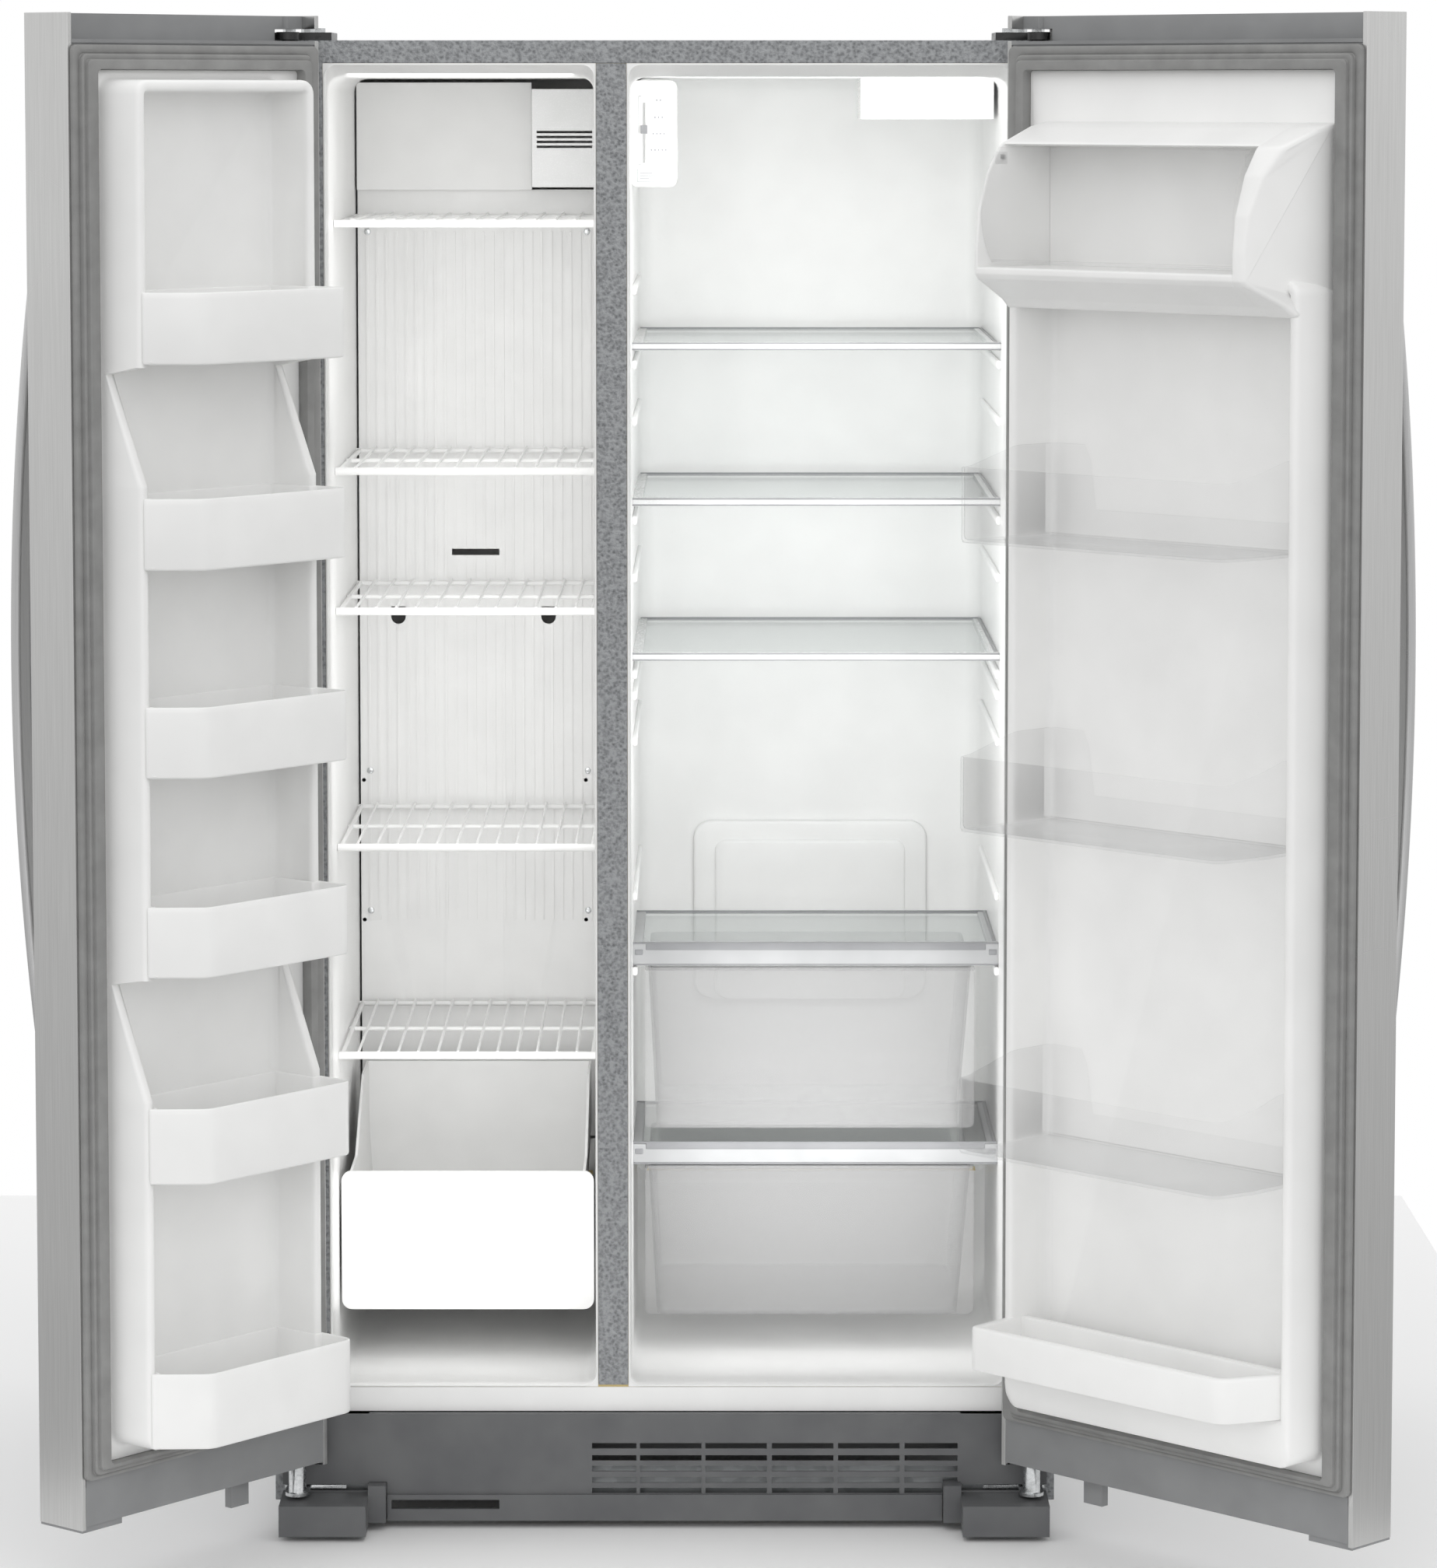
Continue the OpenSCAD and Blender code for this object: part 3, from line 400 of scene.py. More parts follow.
def plated(name, dark, light, rough, cell_mm, metallic=1.0):
    """Bare or plated sheet: crystals or casting grain of cell_mm in slightly different tones."""
    mat, tree, out, place = start_material(name)
    cells = add(tree, "ShaderNodeTexVoronoi", {"feature": "F1"}, Vector=place, Scale=1000 / cell_mm)
    fine = add(tree, "ShaderNodeTexNoise", None, Vector=place, Scale=400.0, Detail=3.0)
    bump = add(tree, "ShaderNodeBump", None, Height=fine.outputs["Fac"], Distance=0.0001, Strength=0.3)
    tone = add(tree, "ShaderNodeSeparateColor", None, Color=cells.outputs["Color"])
    colour = add(tree, "ShaderNodeMix", {"data_type": "RGBA"}, Factor=tone.outputs["Red"], A=linear(dark),
                 B=linear(light))
    gloss = add(tree, "ShaderNodeMapRange", None, Value=tone.outputs["Green"], To_Min=rough - 0.06,
                To_Max=rough + 0.06)
    shade = add(tree, "ShaderNodeBsdfPrincipled", None, Base_Color=colour.outputs[2],
                Roughness=gloss.outputs["Result"], Metallic=metallic, Normal=bump.outputs["Normal"])
    tree.links.new(shade.outputs["BSDF"], out.inputs["Surface"])
    return mat


CABINET_PAINT = textured_paint()
# Door steel with vertical brush lines, and the handles in a finer finish
STAINLESS = brushed("brushed stainless steel", "#c3c3c2", "#d2d2d1", 0.3)
HANDLE_STEEL = brushed("satin stainless handle", "#bdbdbd", "#cbcbcb", 0.26)
# Hot-dip galvanised sheet with large crystals, and bright zinc on screws and hinge plates
GALVANISED = plated("galvanised sheet", "#a3a6a8", "#b9bcbe", 0.42, 14)
ZINC = plated("bright zinc plate", "#c3c5c6", "#d6d8d9", 0.24, 3)
# Baked enamel on the upper hinges, the compressor and the condenser
BLACK_ENAMEL = plated("black enamel on steel", "#131314", "#1b1b1c", 0.3, 6, metallic=0.0)
# Motor cases, evaporator fins and refrigerant tubes
CAST_ALUMINIUM = plated("cast aluminium motor case", "#8c8d8f", "#a4a5a7", 0.5, 2)
FIN_ALUMINIUM = plated("bare fin aluminium", "#c6c8ca", "#d8dadc", 0.35, 5)
COPPER = plated("drawn copper tube", "#b5703f", "#c98455", 0.32, 4)
# White powder coat on steel wire
WIRE_COAT = moulded("white powder-coated wire", "#ededec", "#f5f5f4", 0.34, 2.0, 0.00006)


# ---------- geometry nodes: rows of rods, and parts set on points ----------

def new_tree(name, inputs):
    """Geometry tree with named inputs: returns it, its input and output nodes, and the identifiers."""
    tree = bpy.data.node_groups.new(name, "GeometryNodeTree")
    tree.interface.new_socket(name="Geometry", in_out="INPUT", socket_type="NodeSocketGeometry")
    tree.interface.new_socket(name="Geometry", in_out="OUTPUT", socket_type="NodeSocketGeometry")
    ids = {}
    for label, kind in inputs:
        ids[label] = tree.interface.new_socket(name=label, in_out="INPUT", socket_type=kind).identifier
    return tree, tree.nodes.new("NodeGroupInput"), tree.nodes.new("NodeGroupOutput"), ids


def row_of_rods():
    """Count equal round rods from Start, each a Step on and running Along, joined to the incoming mesh."""
    tree, given, end, ids = new_tree("row of rods", (
        ("Count", "NodeSocketInt"), ("Start", "NodeSocketVector"), ("Step", "NodeSocketVector"),
        ("Along", "NodeSocketVector"), ("Radius", "NodeSocketFloat"), ("Material", "NodeSocketMaterial")))
    line = add(tree, "GeometryNodeMeshLine", {"mode": "OFFSET"}, Count=given.outputs["Count"],
               Start_Location=given.outputs["Start"], Offset=given.outputs["Step"])
    path = add(tree, "GeometryNodeCurvePrimitiveLine", None, Start=(0, 0, 0), End=given.outputs["Along"])
    ring = add(tree, "GeometryNodeCurvePrimitiveCircle", None, Resolution=8, Radius=given.outputs["Radius"])
    rod = add(tree, "GeometryNodeCurveToMesh", None, Curve=path.outputs["Curve"],
              Profile_Curve=ring.outputs["Curve"], Fill_Caps=True)
    put = add(tree, "GeometryNodeInstanceOnPoints", None, Points=line.outputs["Mesh"],
              Instance=rod.outputs["Mesh"])
    real = add(tree, "GeometryNodeRealizeInstances", None, Geometry=put.outputs["Instances"])
    both = tree.nodes.new("GeometryNodeJoinGeometry")
    tree.links.new(given.outputs["Geometry"], both.inputs[0])
    tree.links.new(real.outputs["Geometry"], both.inputs[0])
    paint = add(tree, "GeometryNodeSetMaterial", None, Geometry=both.outputs["Geometry"],
                Material=given.outputs["Material"])
    tree.links.new(paint.outputs["Geometry"], end.inputs["Geometry"])
    return tree, ids


def set_on_points():
    """A small part set on every point of the mesh that comes in: the part is an object's mesh."""
    tree, given, end, ids = new_tree("part on points",
                                     (("Part", "NodeSocketObject"), ("Material", "NodeSocketMaterial")))
    part = add(tree, "GeometryNodeObjectInfo", {"transform_space": "ORIGINAL"},
               Object=given.outputs["Part"])
    put = add(tree, "GeometryNodeInstanceOnPoints", None, Points=given.outputs["Geometry"],
              Instance=part.outputs["Geometry"])
    real = add(tree, "GeometryNodeRealizeInstances", None, Geometry=put.outputs["Instances"])
    paint = add(tree, "GeometryNodeSetMaterial", None, Geometry=real.outputs["Geometry"],
                Material=given.outputs["Material"])
    tree.links.new(paint.outputs["Geometry"], end.inputs["Geometry"])
    return tree, ids


RODS, ON_POINTS = row_of_rods(), set_on_points()


def grown(mesh, steps):
    """Runs geometry trees over a mesh, one after another, and returns the plain mesh that comes out."""
    holder = bpy.data.objects.new("holder", mesh)
    bpy.context.scene.collection.objects.link(holder)
    for (tree, ids), values in steps:
        mod = holder.modifiers.new("grow", "NODES")
        mod.node_group = tree
        for label, value in values.items():
            mod[ids[label]] = value
    bpy.context.view_layer.update()
    done = bpy.data.meshes.new_from_object(holder.evaluated_get(bpy.context.evaluated_depsgraph_get()))
    holder.modifiers.clear()
    bpy.data.objects.remove(holder)
    return done


def scattered(name, part_solid, spots, body, material):
    """One small part repeated at spots, given in metres in the shared frame."""
    part = bpy.data.objects.new("part", solid_mesh("part", part_solid))
    bpy.context.scene.collection.objects.link(part)
    points = bpy.data.meshes.new(name)
    points.from_pydata(spots, [], [])
    mesh = grown(points, [(ON_POINTS, {"Part": part, "Material": material})])
    bpy.data.objects.remove(part)
    hand_over(name, mesh, body, material, sharp=35)


def dome(r, h, sides=16):
    """Low round head: a screw head or a printed dot, standing out to the front."""
    loops = []
    turns = [2 * math.pi * i / sides for i in range(sides)]
    f = Vector((0, -1, 0))
    a = f.orthogonal().normalized()
    b = f.cross(a)
    for q, out in ((1.0, 0.0), (1.0, 0.35), (0.88, 0.75), (0.6, 0.95), (0.25, 1.0)):
        loops.append([tuple((a * math.cos(t) + b * math.sin(t)) * r * q + f * h * out) for t in turns])
    return loft(loops)


# ---------- compartments ----------

def compartment(x, back, hump, hump_z):
    """Formed liner: a lip round the mouth, walls with a round rear edge, the hump over the machine space."""
    levels = [FLOOR_Z + 40 + 60 * i for i in range(24)]

    def loop(y, grow, low, high, r):
        wide, tall = (x[0] - grow, x[1] + grow), (low - grow, high + grow)
        return [(a, y, h) for a, h in rounded_loop(wide, tall, r + grow, levels)]

    top, rear_top = CEILING_Z, CEILING_Z - CEILING_DROP
    inner = [loop(-0.4, 0.6, FLOOR_Z, top, 14), loop(0.8, 0.0, FLOOR_Z, top, 14),
             loop(12, -0.6, FLOOR_Z, top - 3, 14), loop(24, -0.8, FLOOR_Z, rear_top + 2, 15),
             loop(34, -1, FLOOR_Z, rear_top, 16), loop(hump - 26, -1.2, FLOOR_Z, rear_top, 16),
             loop(hump - 12, -1.2, FLOOR_Z + 4, rear_top, 16),
             loop(hump - 3, -1.3, FLOOR_Z + 16, rear_top, 16),
             loop(hump - 0.5, -1.3, FLOOR_Z + 34, rear_top, 16),
             loop(hump, -1.3, hump_z[0] - 26, rear_top, 16),
             loop(hump + 4, -1.4, hump_z[0] - 8, rear_top, 16),
             loop(hump + 14, -1.4, hump_z[0] + 3, rear_top, 16),
             loop(hump + 50, -1.5, hump_z[1], rear_top, 18),
             loop(back - 26, -1.6, hump_z[1] + 0.5, rear_top, 20),
             loop(back - 12, -4, hump_z[1] + 2, rear_top - 2, 24),
             loop(back - 4, -11, hump_z[1] + 5, rear_top - 6, 26),
             loop(back - 1, -22, hump_z[1] + 8, rear_top - 10, 28),
             loop(back - 0.6, -40, hump_z[1] + 12, rear_top - 14, 24)]
    outer = [loop(back + 1.8, 1.8, hump_z[1], rear_top, 14), loop(hump + 50, 1.8, hump_z[1], rear_top, 14),
             loop(hump + 1.8, 1.8, hump_z[0], rear_top, 14), loop(hump + 1.8, 1.8, FLOOR_Z, rear_top, 14),
             loop(30, 1.8, FLOOR_Z, rear_top, 14), loop(1.0, 1.8, FLOOR_Z, top, 14),
             loop(-0.3, 1.7, FLOOR_Z, top, 14)]
    return loft(outer + inner)


def flange(x):
    """Flat front of a liner, out to square corners."""
    square = (x[0] - 2.3, x[1] + 2.3, FLOOR_Z - 2.3, CEILING_Z + 2.3)
    mouth = (x[0] - 0.2, x[1] + 0.2, FLOOR_Z - 0.2, CEILING_Z + 0.2)
    rows = ((square, 0.4, 1.4), (square, 0.4, 0.3), (mouth, 14, 0.3), (mouth, 14, 1.4))
    return loft([[(a, y, h) for a, h in rounded_loop(s[:2], s[2:], r)] for s, r, y in rows], ring=True)


freezer_shell = join(compartment(FREEZER_X, back=600, hump=430, hump_z=(330, 360)), flange(FREEZER_X))
mesh_piece("freezer_liner_shell", freezer_shell, in_cabinet, "cabinet", LINER,
           ("freezer_liner",), sharp=60)

# Low pads along both side walls carry the glass shelves
pads = []
for z in (630, 720, 905, 960, 985, 1100, 1168, 1285, 1352, 1440):
    pads.append(block((FRIDGE_X[0] + 0.5, FRIDGE_X[0] + 6.5), (150, 560), (z - 5, z + 5), 2.6))
    pads.append(block((FRIDGE_X[1] - 6.5, FRIDGE_X[1] - 0.5), (150, 560), (z - 5, z + 5), 2.6))
# Raised arch on the rear wall behind the crispers, with a second, smaller field on it
arch = []
for x, z, y0, y1, r in (((31, 327), (520, 748), 615, 624, 22), ((58, 300), (520, 724), 611, 616, 14)):
    arch.append(loft([[(a, y, h) for a, h in rounded_loop((x[0] + d, x[1] - d), (z[0], z[1] - d), r)]
                      for y, d in ((y1, 0), (y0 + 3, 0), (y0 + 0.8, 1.4), (y0, 4))]))
fridge_shell = compartment(FRIDGE_X, back=625, hump=455, hump_z=(330, 360))
fridge_shell = join(fridge_shell, flange(FRIDGE_X), *pads, *arch)
mesh_piece("fridge_liner_shell", fridge_shell, in_cabinet, "cabinet", LINER,
           ("fridge_liner",), sharp=60)


# ---------- wire shelves ----------

def wire_shelf(number, z):
    """Bent frame of thick wire with thin wires welded across it."""
    x0, x1 = FREEZER_X[0] + 1.5, FREEZER_X[1] - 1.5
    low = z - 5.8
    front, rear = FREEZER_FRONT + 5, SHELF_BACK - 4
    rails = [
        tube([(x0, front, low), (x1, front, low)], 4.6, 14),
        tube([(x0, rear, low), (x1, rear, low)], 3.1, 10),
        tube([(x0, (front + rear) / 2, low), (x1, (front + rear) / 2, low)], 2.6, 10),
        tube([(x0 + 4, front, low), (x0 + 4, rear, low)], 2.8, 10),
        tube([(x1 - 4, front, low), (x1 - 4, rear, low)], 2.8, 10),
    ]
    name = "wire_shelf_%d" % number
    pitch = (x1 - x0) / 13
    mesh = grown(solid_mesh(name, join(*rails)),
                 [(RODS, {"Count": 12, "Start": ((x0 + pitch) / 1000, (front - 2) / 1000, (z - 1.9) / 1000),
                          "Step": (pitch / 1000, 0.0, 0.0), "Along": (0.0, (rear - front + 4) / 1000, 0.0),
                          "Radius": 0.0017, "Material": WIRE_COAT})])
    hand_over(name + "_wires", mesh, "cabinet", WIRE_COAT, (name,))


for k, z in enumerate(WIRE_Z):
    wire_shelf(k + 1, z)


# ---------- freezer compartment's fittings ----------

softened("evaporator_cover", "freezer_rear_panel", "cabinet", WHITE_ABS, 0.5, 2)
softened("freezer_light_cover", "freezer_light_shade", "cabinet", DIFFUSER, 2.0)
softened("freezer_basket", "freezer_basket_tub", "basket", WHITE_ABS, 1.3)
scattered("rear_panel_screws", dome(4.2, 2.2),
          [in_cabinet((x, 492, z)) for x in (-372, -100) for z in (652, 828, 1500)], "cabinet",
          ZINC)


# ---------- fresh food compartment's fittings ----------

def glass_shelf_rim(z, low, high, y1):
    """Slim moulded frame round a pane, with a rounded front rail."""
    x0, x1 = FRIDGE_X[0] + 0.4, FRIDGE_X[1] - 0.4
    return [
        block((x0, x1), (FRIDGE_FRONT, FRIDGE_FRONT + 13), (z + low, z + high), 2.4),
        block((x0, x0 + 12.2), (FRIDGE_FRONT + 8, y1), (z - 8, z - 0.6), 1.6),
        block((x1 - 12.2, x1), (FRIDGE_FRONT + 8, y1), (z - 8, z - 0.6), 1.6),
    ]


def edge_shade_strips(z, top, bottom, y1):
    """Dark strips of painted shade at a pane's edges: its rear strip, its right edge, and the two long edges
    of the front rail.
    """
    x0, x1 = FRIDGE_X[0] + 1, FRIDGE_X[1] - 1
    return [
        block((x0, x1), (y1 - 5, y1 - 0.5), (z - 3.4, z + 0.4), 0.8),
        block((x1 - 5, x1 - 1), (FRIDGE_FRONT + 10, y1 - 2), (z - 1.8, z + 0.4), 0.8),
        block((x0, x1), (FRIDGE_FRONT - 0.4, FRIDGE_FRONT + 4), (top - 1.8, top), 0.6),
        block((x0, x1), (FRIDGE_FRONT - 0.4, FRIDGE_FRONT + 4), (bottom, bottom + 1.6), 0.6),
    ]


rims = [solid for z in GLASS_Z for solid in glass_shelf_rim(z, -7, 2.4, GLASS_BACK)]
mesh_piece("shelf_rims", join(*rims), in_cabinet, "cabinet", RAIL_GREY, ("shelf_frames",))
# Painted shade: dark strips along each glass shelf's rear, right edge and front rail edges
lines = [solid for z in GLASS_Z for solid in edge_shade_strips(z, z + 2.2, z - 6.8, GLASS_BACK)]
mesh_piece("shelf_edge_lines", join(*lines), in_cabinet, "cabinet", DARK_TRIM_AND_EDGE_SHADE)
rims = [solid for z, low, high in zip(CRISPER_SHELF_Z, (-22, -20), (6, 4))
        for solid in glass_shelf_rim(z, low, high, CRISPER_SHELF_BACK)]
mesh_piece("crisper_shelf_rims", join(*rims), in_cabinet, "cabinet", TRIM_GREY,
           ("crisper_shelf_frames",))
lines = []
# Painted shade along the crisper shelves' pane edges, with dark front strips and small dark blocks at both
# ends
for z in CRISPER_SHELF_Z:
    lines += edge_shade_strips(z, z + 6, z - 21, CRISPER_SHELF_BACK)
    lines.append(block((FRIDGE_X[0] + 16, FRIDGE_X[1] - 16), (FRIDGE_FRONT - 0.8, FRIDGE_FRONT + 4),
                       (z - 3, z + 5), 1.2))
    lines += [block((x - 5, x + 5), (FRIDGE_FRONT - 1, FRIDGE_FRONT + 4), (z - 9, z - 2), 1.5)
              for x in (FRIDGE_X[0] + 8, FRIDGE_X[1] - 8)]
mesh_piece("crisper_shelf_edges", join(*lines), in_cabinet, "cabinet", DARK_TRIM_AND_EDGE_SHADE)


def crisper(name, node, body, z0, z1):
    """Clear drawer: rounded tub with leaning sides, a rolled front lip and a moulded handle edge."""
    loops = []
    middle = (z0 + z1) / 2
    rows = ((z0, 0), (z0 + 2, 0), (middle, 0), (z1, 0), (z1, 3), (middle, 3), (z0 + 6, 3), (z0 + 3, 3))
    for h, d in rows:
        t = (h - z0) / (z1 - z0)
        x0, x1 = -11 - 10 * t, 348 + 16 * t
        loops.append([(a, b, h) for a, b in rounded_loop((x0 + d, x1 - d), (161 + d, 432 - d), 14 - d)])
    tub = loft(loops)
    front = loft([[(a, y, h) for a, h in rounded_loop((-25 + d, 368 - d), (z0 + d, z1 - d), 9)]
                  for y, d in ((162, 0), (159.5, 0), (158.4, 1.2), (158.2, 3))])
    lip = block((-25, 368), (158.3, 176), (z1 - 4, z1 - 0.2), 1.6)
    mesh_piece(name, join(tub, front, lip), in_cabinet, body, CRISPER_CLEAR, (node,),
               sharp=50)


crisper("upper_crisper_tub", "upper_crisper", "upper_drawer", 440, 634)
crisper("lower_crisper_tub", "lower_crisper", "lower_drawer", 214, 395)

softened("control_housing", "control_case", "cabinet", WHITE_ABS, 0.8, 2)
softened("temperature_slider", "temperature_knob", "slider", KNOB_GREY, 1.0)
softened("fridge_light_cover", "fridge_light_shade", "cabinet", DIFFUSER, 4.0)
# Printed on the control housing's face: rows with more and more dots, their bracket, and a small frame
FACE_Y = 112
PRINTED = (FACE_Y - 0.1, FACE_Y + 0.1)
marks = []
for z, count in ((1663, 2), (1643, 3), (1624, 4), (1605, 5)):
    marks += [in_cabinet((-7 + 4.2 * (i - (count - 1) / 2), FACE_Y + 0.05, z)) for i in range(count)]
scattered("scale_dots", dome(1.1, 0.12, 10), marks, "cabinet", PRINT_GREY)
lines = [block((-30.5, -29.9), PRINTED, (1588, 1668))]
lines += [block((-30.5, -27), PRINTED, z) for z in ((1667.4, 1668), (1588, 1588.6))]
lines += [block((-32, -6), PRINTED, (z, z + 0.6)) for z in (1568, 1582)]
lines += [block((x, x + 0.6), PRINTED, (1568, 1582.5)) for x in (-32, -6)]
lines += [block((-29, -29 + w), PRINTED, (z, z + 1)) for w, z in ((15, 1578), (19, 1574.5), (11, 1571))]
mesh_piece("scale_lines", join(*lines), in_cabinet, "cabinet", PRINT_GREY)


# ---------- outer shell, base and hinges: CAD shapes with softened edges ----------

def paint(node, material):
    """Gives a CAD node that stays in view its material."""
    NODES[node].data.materials.clear()
    NODES[node].data.materials.append(material)


paint("base_grille", DARK_PP)
softened("hinge_covers", "hinge_shrouds", "cabinet", DARK_PP, 2.2)
softened("leveling_feet", "front_feet", "cabinet", RUBBER, 0.9, 2)
softened("left_rear_roller", "left_roller_wheel", "left_roller", RUBBER, 1.5)
softened("right_rear_roller", "right_roller_wheel", "right_roller", RUBBER, 1.5)
softened("top_hinges", "upper_hinge_plates", "cabinet", BLACK_ENAMEL, 1.2)
softened("bottom_hinges", "lower_hinge_plates", "cabinet", ZINC, 0.7, 2)
softened("hinge_bolts", "hinge_screws", "cabinet", ZINC, 0.6, 2)
softened("cabinet_wrapper", "cabinet_case", "cabinet", CABINET_PAINT, 0.7, 2)
CAD_MATERIALS = {
    "cabinet_foam": FOAM, "freezer_door_foam": FOAM, "fridge_door_foam": FOAM, "mullion_trim": CABINET_PAINT,
    "front_sill": LINER, "back_panel": GALVANISED, "machine_cover": DARK_PP, "base_frame": GALVANISED,
    "roller_brackets": GALVANISED, "compressor": BLACK_ENAMEL, "condenser": BLACK_ENAMEL,
    "condenser_fan_motor": CAST_ALUMINIUM, "condenser_fan": DARK_PP, "drain_pan": DARK_PP,
    "refrigerant_lines": COPPER, "power_inlet": BLACK_NYLON, "evaporator": FIN_ALUMINIUM,
    "evaporator_fan_motor": CAST_ALUMINIUM, "evaporator_fan": DARK_PP, "shelf_glass": SHELF_GLASS,
    "crisper_shelf_glass": SHELF_GLASS}
for node, material in CAD_MATERIALS.items():
    paint(node, material)


# ---------- doors ----------

def dense(loop, step):
    """Closed outline with long edges split, so that no piece is much longer than step."""
    out = []
    for k, p in enumerate(loop):
        p, q = Vector(p), Vector(loop[(k + 1) % len(loop)])
        n = max(1, math.ceil((q - p).length / step))
        out += [tuple(p + (q - p) * i / n) for i in range(n)]
    return out


def outer_corners(bm):
    """Rounds the long upright edges where two wide faces of a door's steel meet."""
    wide = []
    for e in bm.edges:
        a, b = e.verts[0].co, e.verts[1].co
        upright = abs(a.z - b.z) > 0.9 and e.calc_face_angle(0) > 1.4
        if upright and min(f.calc_area() for f in e.link_faces) > 0.07:
            wide.append(e)
    bmesh.ops.bevel(bm, geom=wide, offset=0.003, segments=5, profile=0.5, affect="EDGES")


def seal(u1):
    """Layered magnetic seal: a base flange, a bellows step and the magnet strip, with round corners."""
    out, mid = (-22, u1 - 3, 136, 1724), (-6, u1 - 12, 142, 1714)
    top, hole = (-4, u1 - 18, 147, 1708), (8, u1 - 33, 152, 1697)
    rows = [(out, 0, 21.2, 7), (out, 0, 25.6, 7), (out, 0.5, 26.9, 7), (out, 1.8, 27.4, 6),
            (mid, -2.2, 27.3, 7), (mid, -0.9, 26.2, 7), (mid, 0, 27.4, 7), (mid, 0, 30.6, 7),
            (mid, 0.6, 31.6, 7), (mid, 1.4, 31.9, 6), (top, -0.8, 30.9, 6), (top, 0, 32.2, 6),
            (top, 0, 34.2, 6), (top, 0.8, 35.2, 6), (top, 2.2, 35.4, 6), (hole, -3.4, 35.4, 6),
            (hole, -0.8, 35.0, 6), (hole, 0, 33.6, 5), (hole, 0, 21.2, 5)]
    return loft([[(a, v, h) for a, h in rounded_loop((s[0] + d, s[1] - d), (s[2] + d, s[3] - d), r)]
                 for s, d, v, r in rows], ring=True)


def bowed_bar(u1):
    """Long bar bowed away from the door, flattened oval in section, with rounded ends and two posts."""
    r_bow, mid, post_reach = 2640, 1040, 395
    half_turn, rounded_turn = 9.3, 0.3
    tips = (0, 0.01, 0.05, 0.12)
    turns = [-half_turn + d for d in tips] + [-9 + 0.6 * i for i in range(31)]
    turns += [half_turn - d for d in reversed(tips)]
    loops = []
    for a in turns:
        end = (half_turn - abs(a)) / rounded_turn
        q = 0.72 + 0.28 * math.sqrt(max(0.0, 1 - (1 - min(end, 1)) ** 2))
        a = math.radians(a)
        loop = []
        for w, t in rounded_loop((-12 * q, 12 * q), (7 - 7 * q, 7 + 7 * q), 6.2 * q, steps=5):
            r = r_bow - t
            loop.append((u1 - 32 + w, DOOR_OUT - 56 + r_bow - r * math.cos(a), mid + r * math.sin(a)))
        loops.append(loop)
    foot = ((11.5, 0.1), (11.5, 1.6), (9.6, 2.6), (8.6, 4), (8.6, 21))
    around = [math.pi * i / 10 for i in range(20)]
    posts = [loft([[(u1 - 32 + r * math.cos(a), DOOR_OUT - v, z + r * math.sin(a)) for a in around]
                   for r, v in foot]) for z in (mid - post_reach, mid + post_reach)]
    return join(loft(loops), *posts)


def door_panel(u1, dike, high, floor, depth_at, levels):
    """Formed inner panel of a door: a flange under the seal, the raised rim, and the flat field inside it.
    depth_at(z) is how far the rim may stand out at a height."""
    d0, d1, top = dike
    rows = [((8.4, u1 - 33.4), (152.4, 1696.6), 19.8, 4), ((8.4, u1 - 33.4), (152.4, 1696.6), 22.5, 4),
            ((9, u1 - 34), (153, 1696), 23, 4), ((d0 - 5.5, d1 + 3), (DIKE_Z[0] - 6, high + 6), 23.1, 20),
            ((d0 - 2, d1 + 1.4), (DIKE_Z[0] - 2, high + 2), 24.6, 18),
            ((d0 - 0.6, d1 + 0.4), (DIKE_Z[0] - 0.6, high + 0.6), 27.5, 17),
            ((d0, d1), (DIKE_Z[0], high), 34, 16), ((d0, d1), (DIKE_Z[0], high), top - 7, 16)]
    crest = ((0.5, 0.1, top - 3.5), (1.6, 0.25, top - 1.2), (3.6, 0.4, top), (8.4, 0.8, top),
             (10.4, 0.9, top - 1.2), (11.5, 0.97, top - 3.5))
    rows += [((d0 + i, d1 - i), (DIKE_Z[0] + (floor - DIKE_Z[0]) * low, high - i * 1.1), v, 16 - i)
             for i, low, v in crest]
    inside = ((12, top - 8, 4), (12.2, 38, 4), (12.8, 30, 5), (15, 26.2, 6), (20, 24.4, 8))
    rows += [((d0 + i, d1 - i), (floor, high - i * 1.1), v, r) for i, v, r in inside]
    return loft([[(a, min(v, depth_at(h)), h) for a, h in rounded_loop(x, z, r, levels)]
                 for x, z, v, r in rows])


def lean(z):
    """How far the freezer door's rim stands out at height z: it leans back above bins two and five."""
    for k in (1, 4):
        low, high = FREEZER_BIN_Z[k] + 92, FREEZER_BIN_Z[k + 1] - 12
        if low < z <= high:
            return 85 - 55 * (z - low) / (high - low)
        if high < z < high + 9:
            return 30 + 55 * (z - high) / 9
    return 85


def freezer_bin(z, height):
    """Fixed bin: its ends overlap the rims, one front corner is cut, and the edge is rolled."""
    outline = round_corners([(55.3, 24), (55.3, 85.4), (45, 85.4), (45, 137), (272, 137), (318, 85.4),
                             (305.7, 85.4), (305.7, 24)], [4, 1, 3, 15, 24, 4, 1, 4])
    rows = [(4, 0), (1.2, 0.7), (0, 3), (0, height - 7), (0, height - 1.6), (0.5, height - 0.5),
            (1.5, height), (2.5, height - 0.5), (3, height - 1.6), (3, 8), (3.8, 5), (6.5, 3.4), (10, 3)]
    return loft([[(a, b, z + h) for a, b in inset(outline, d)] for d, h in rows])


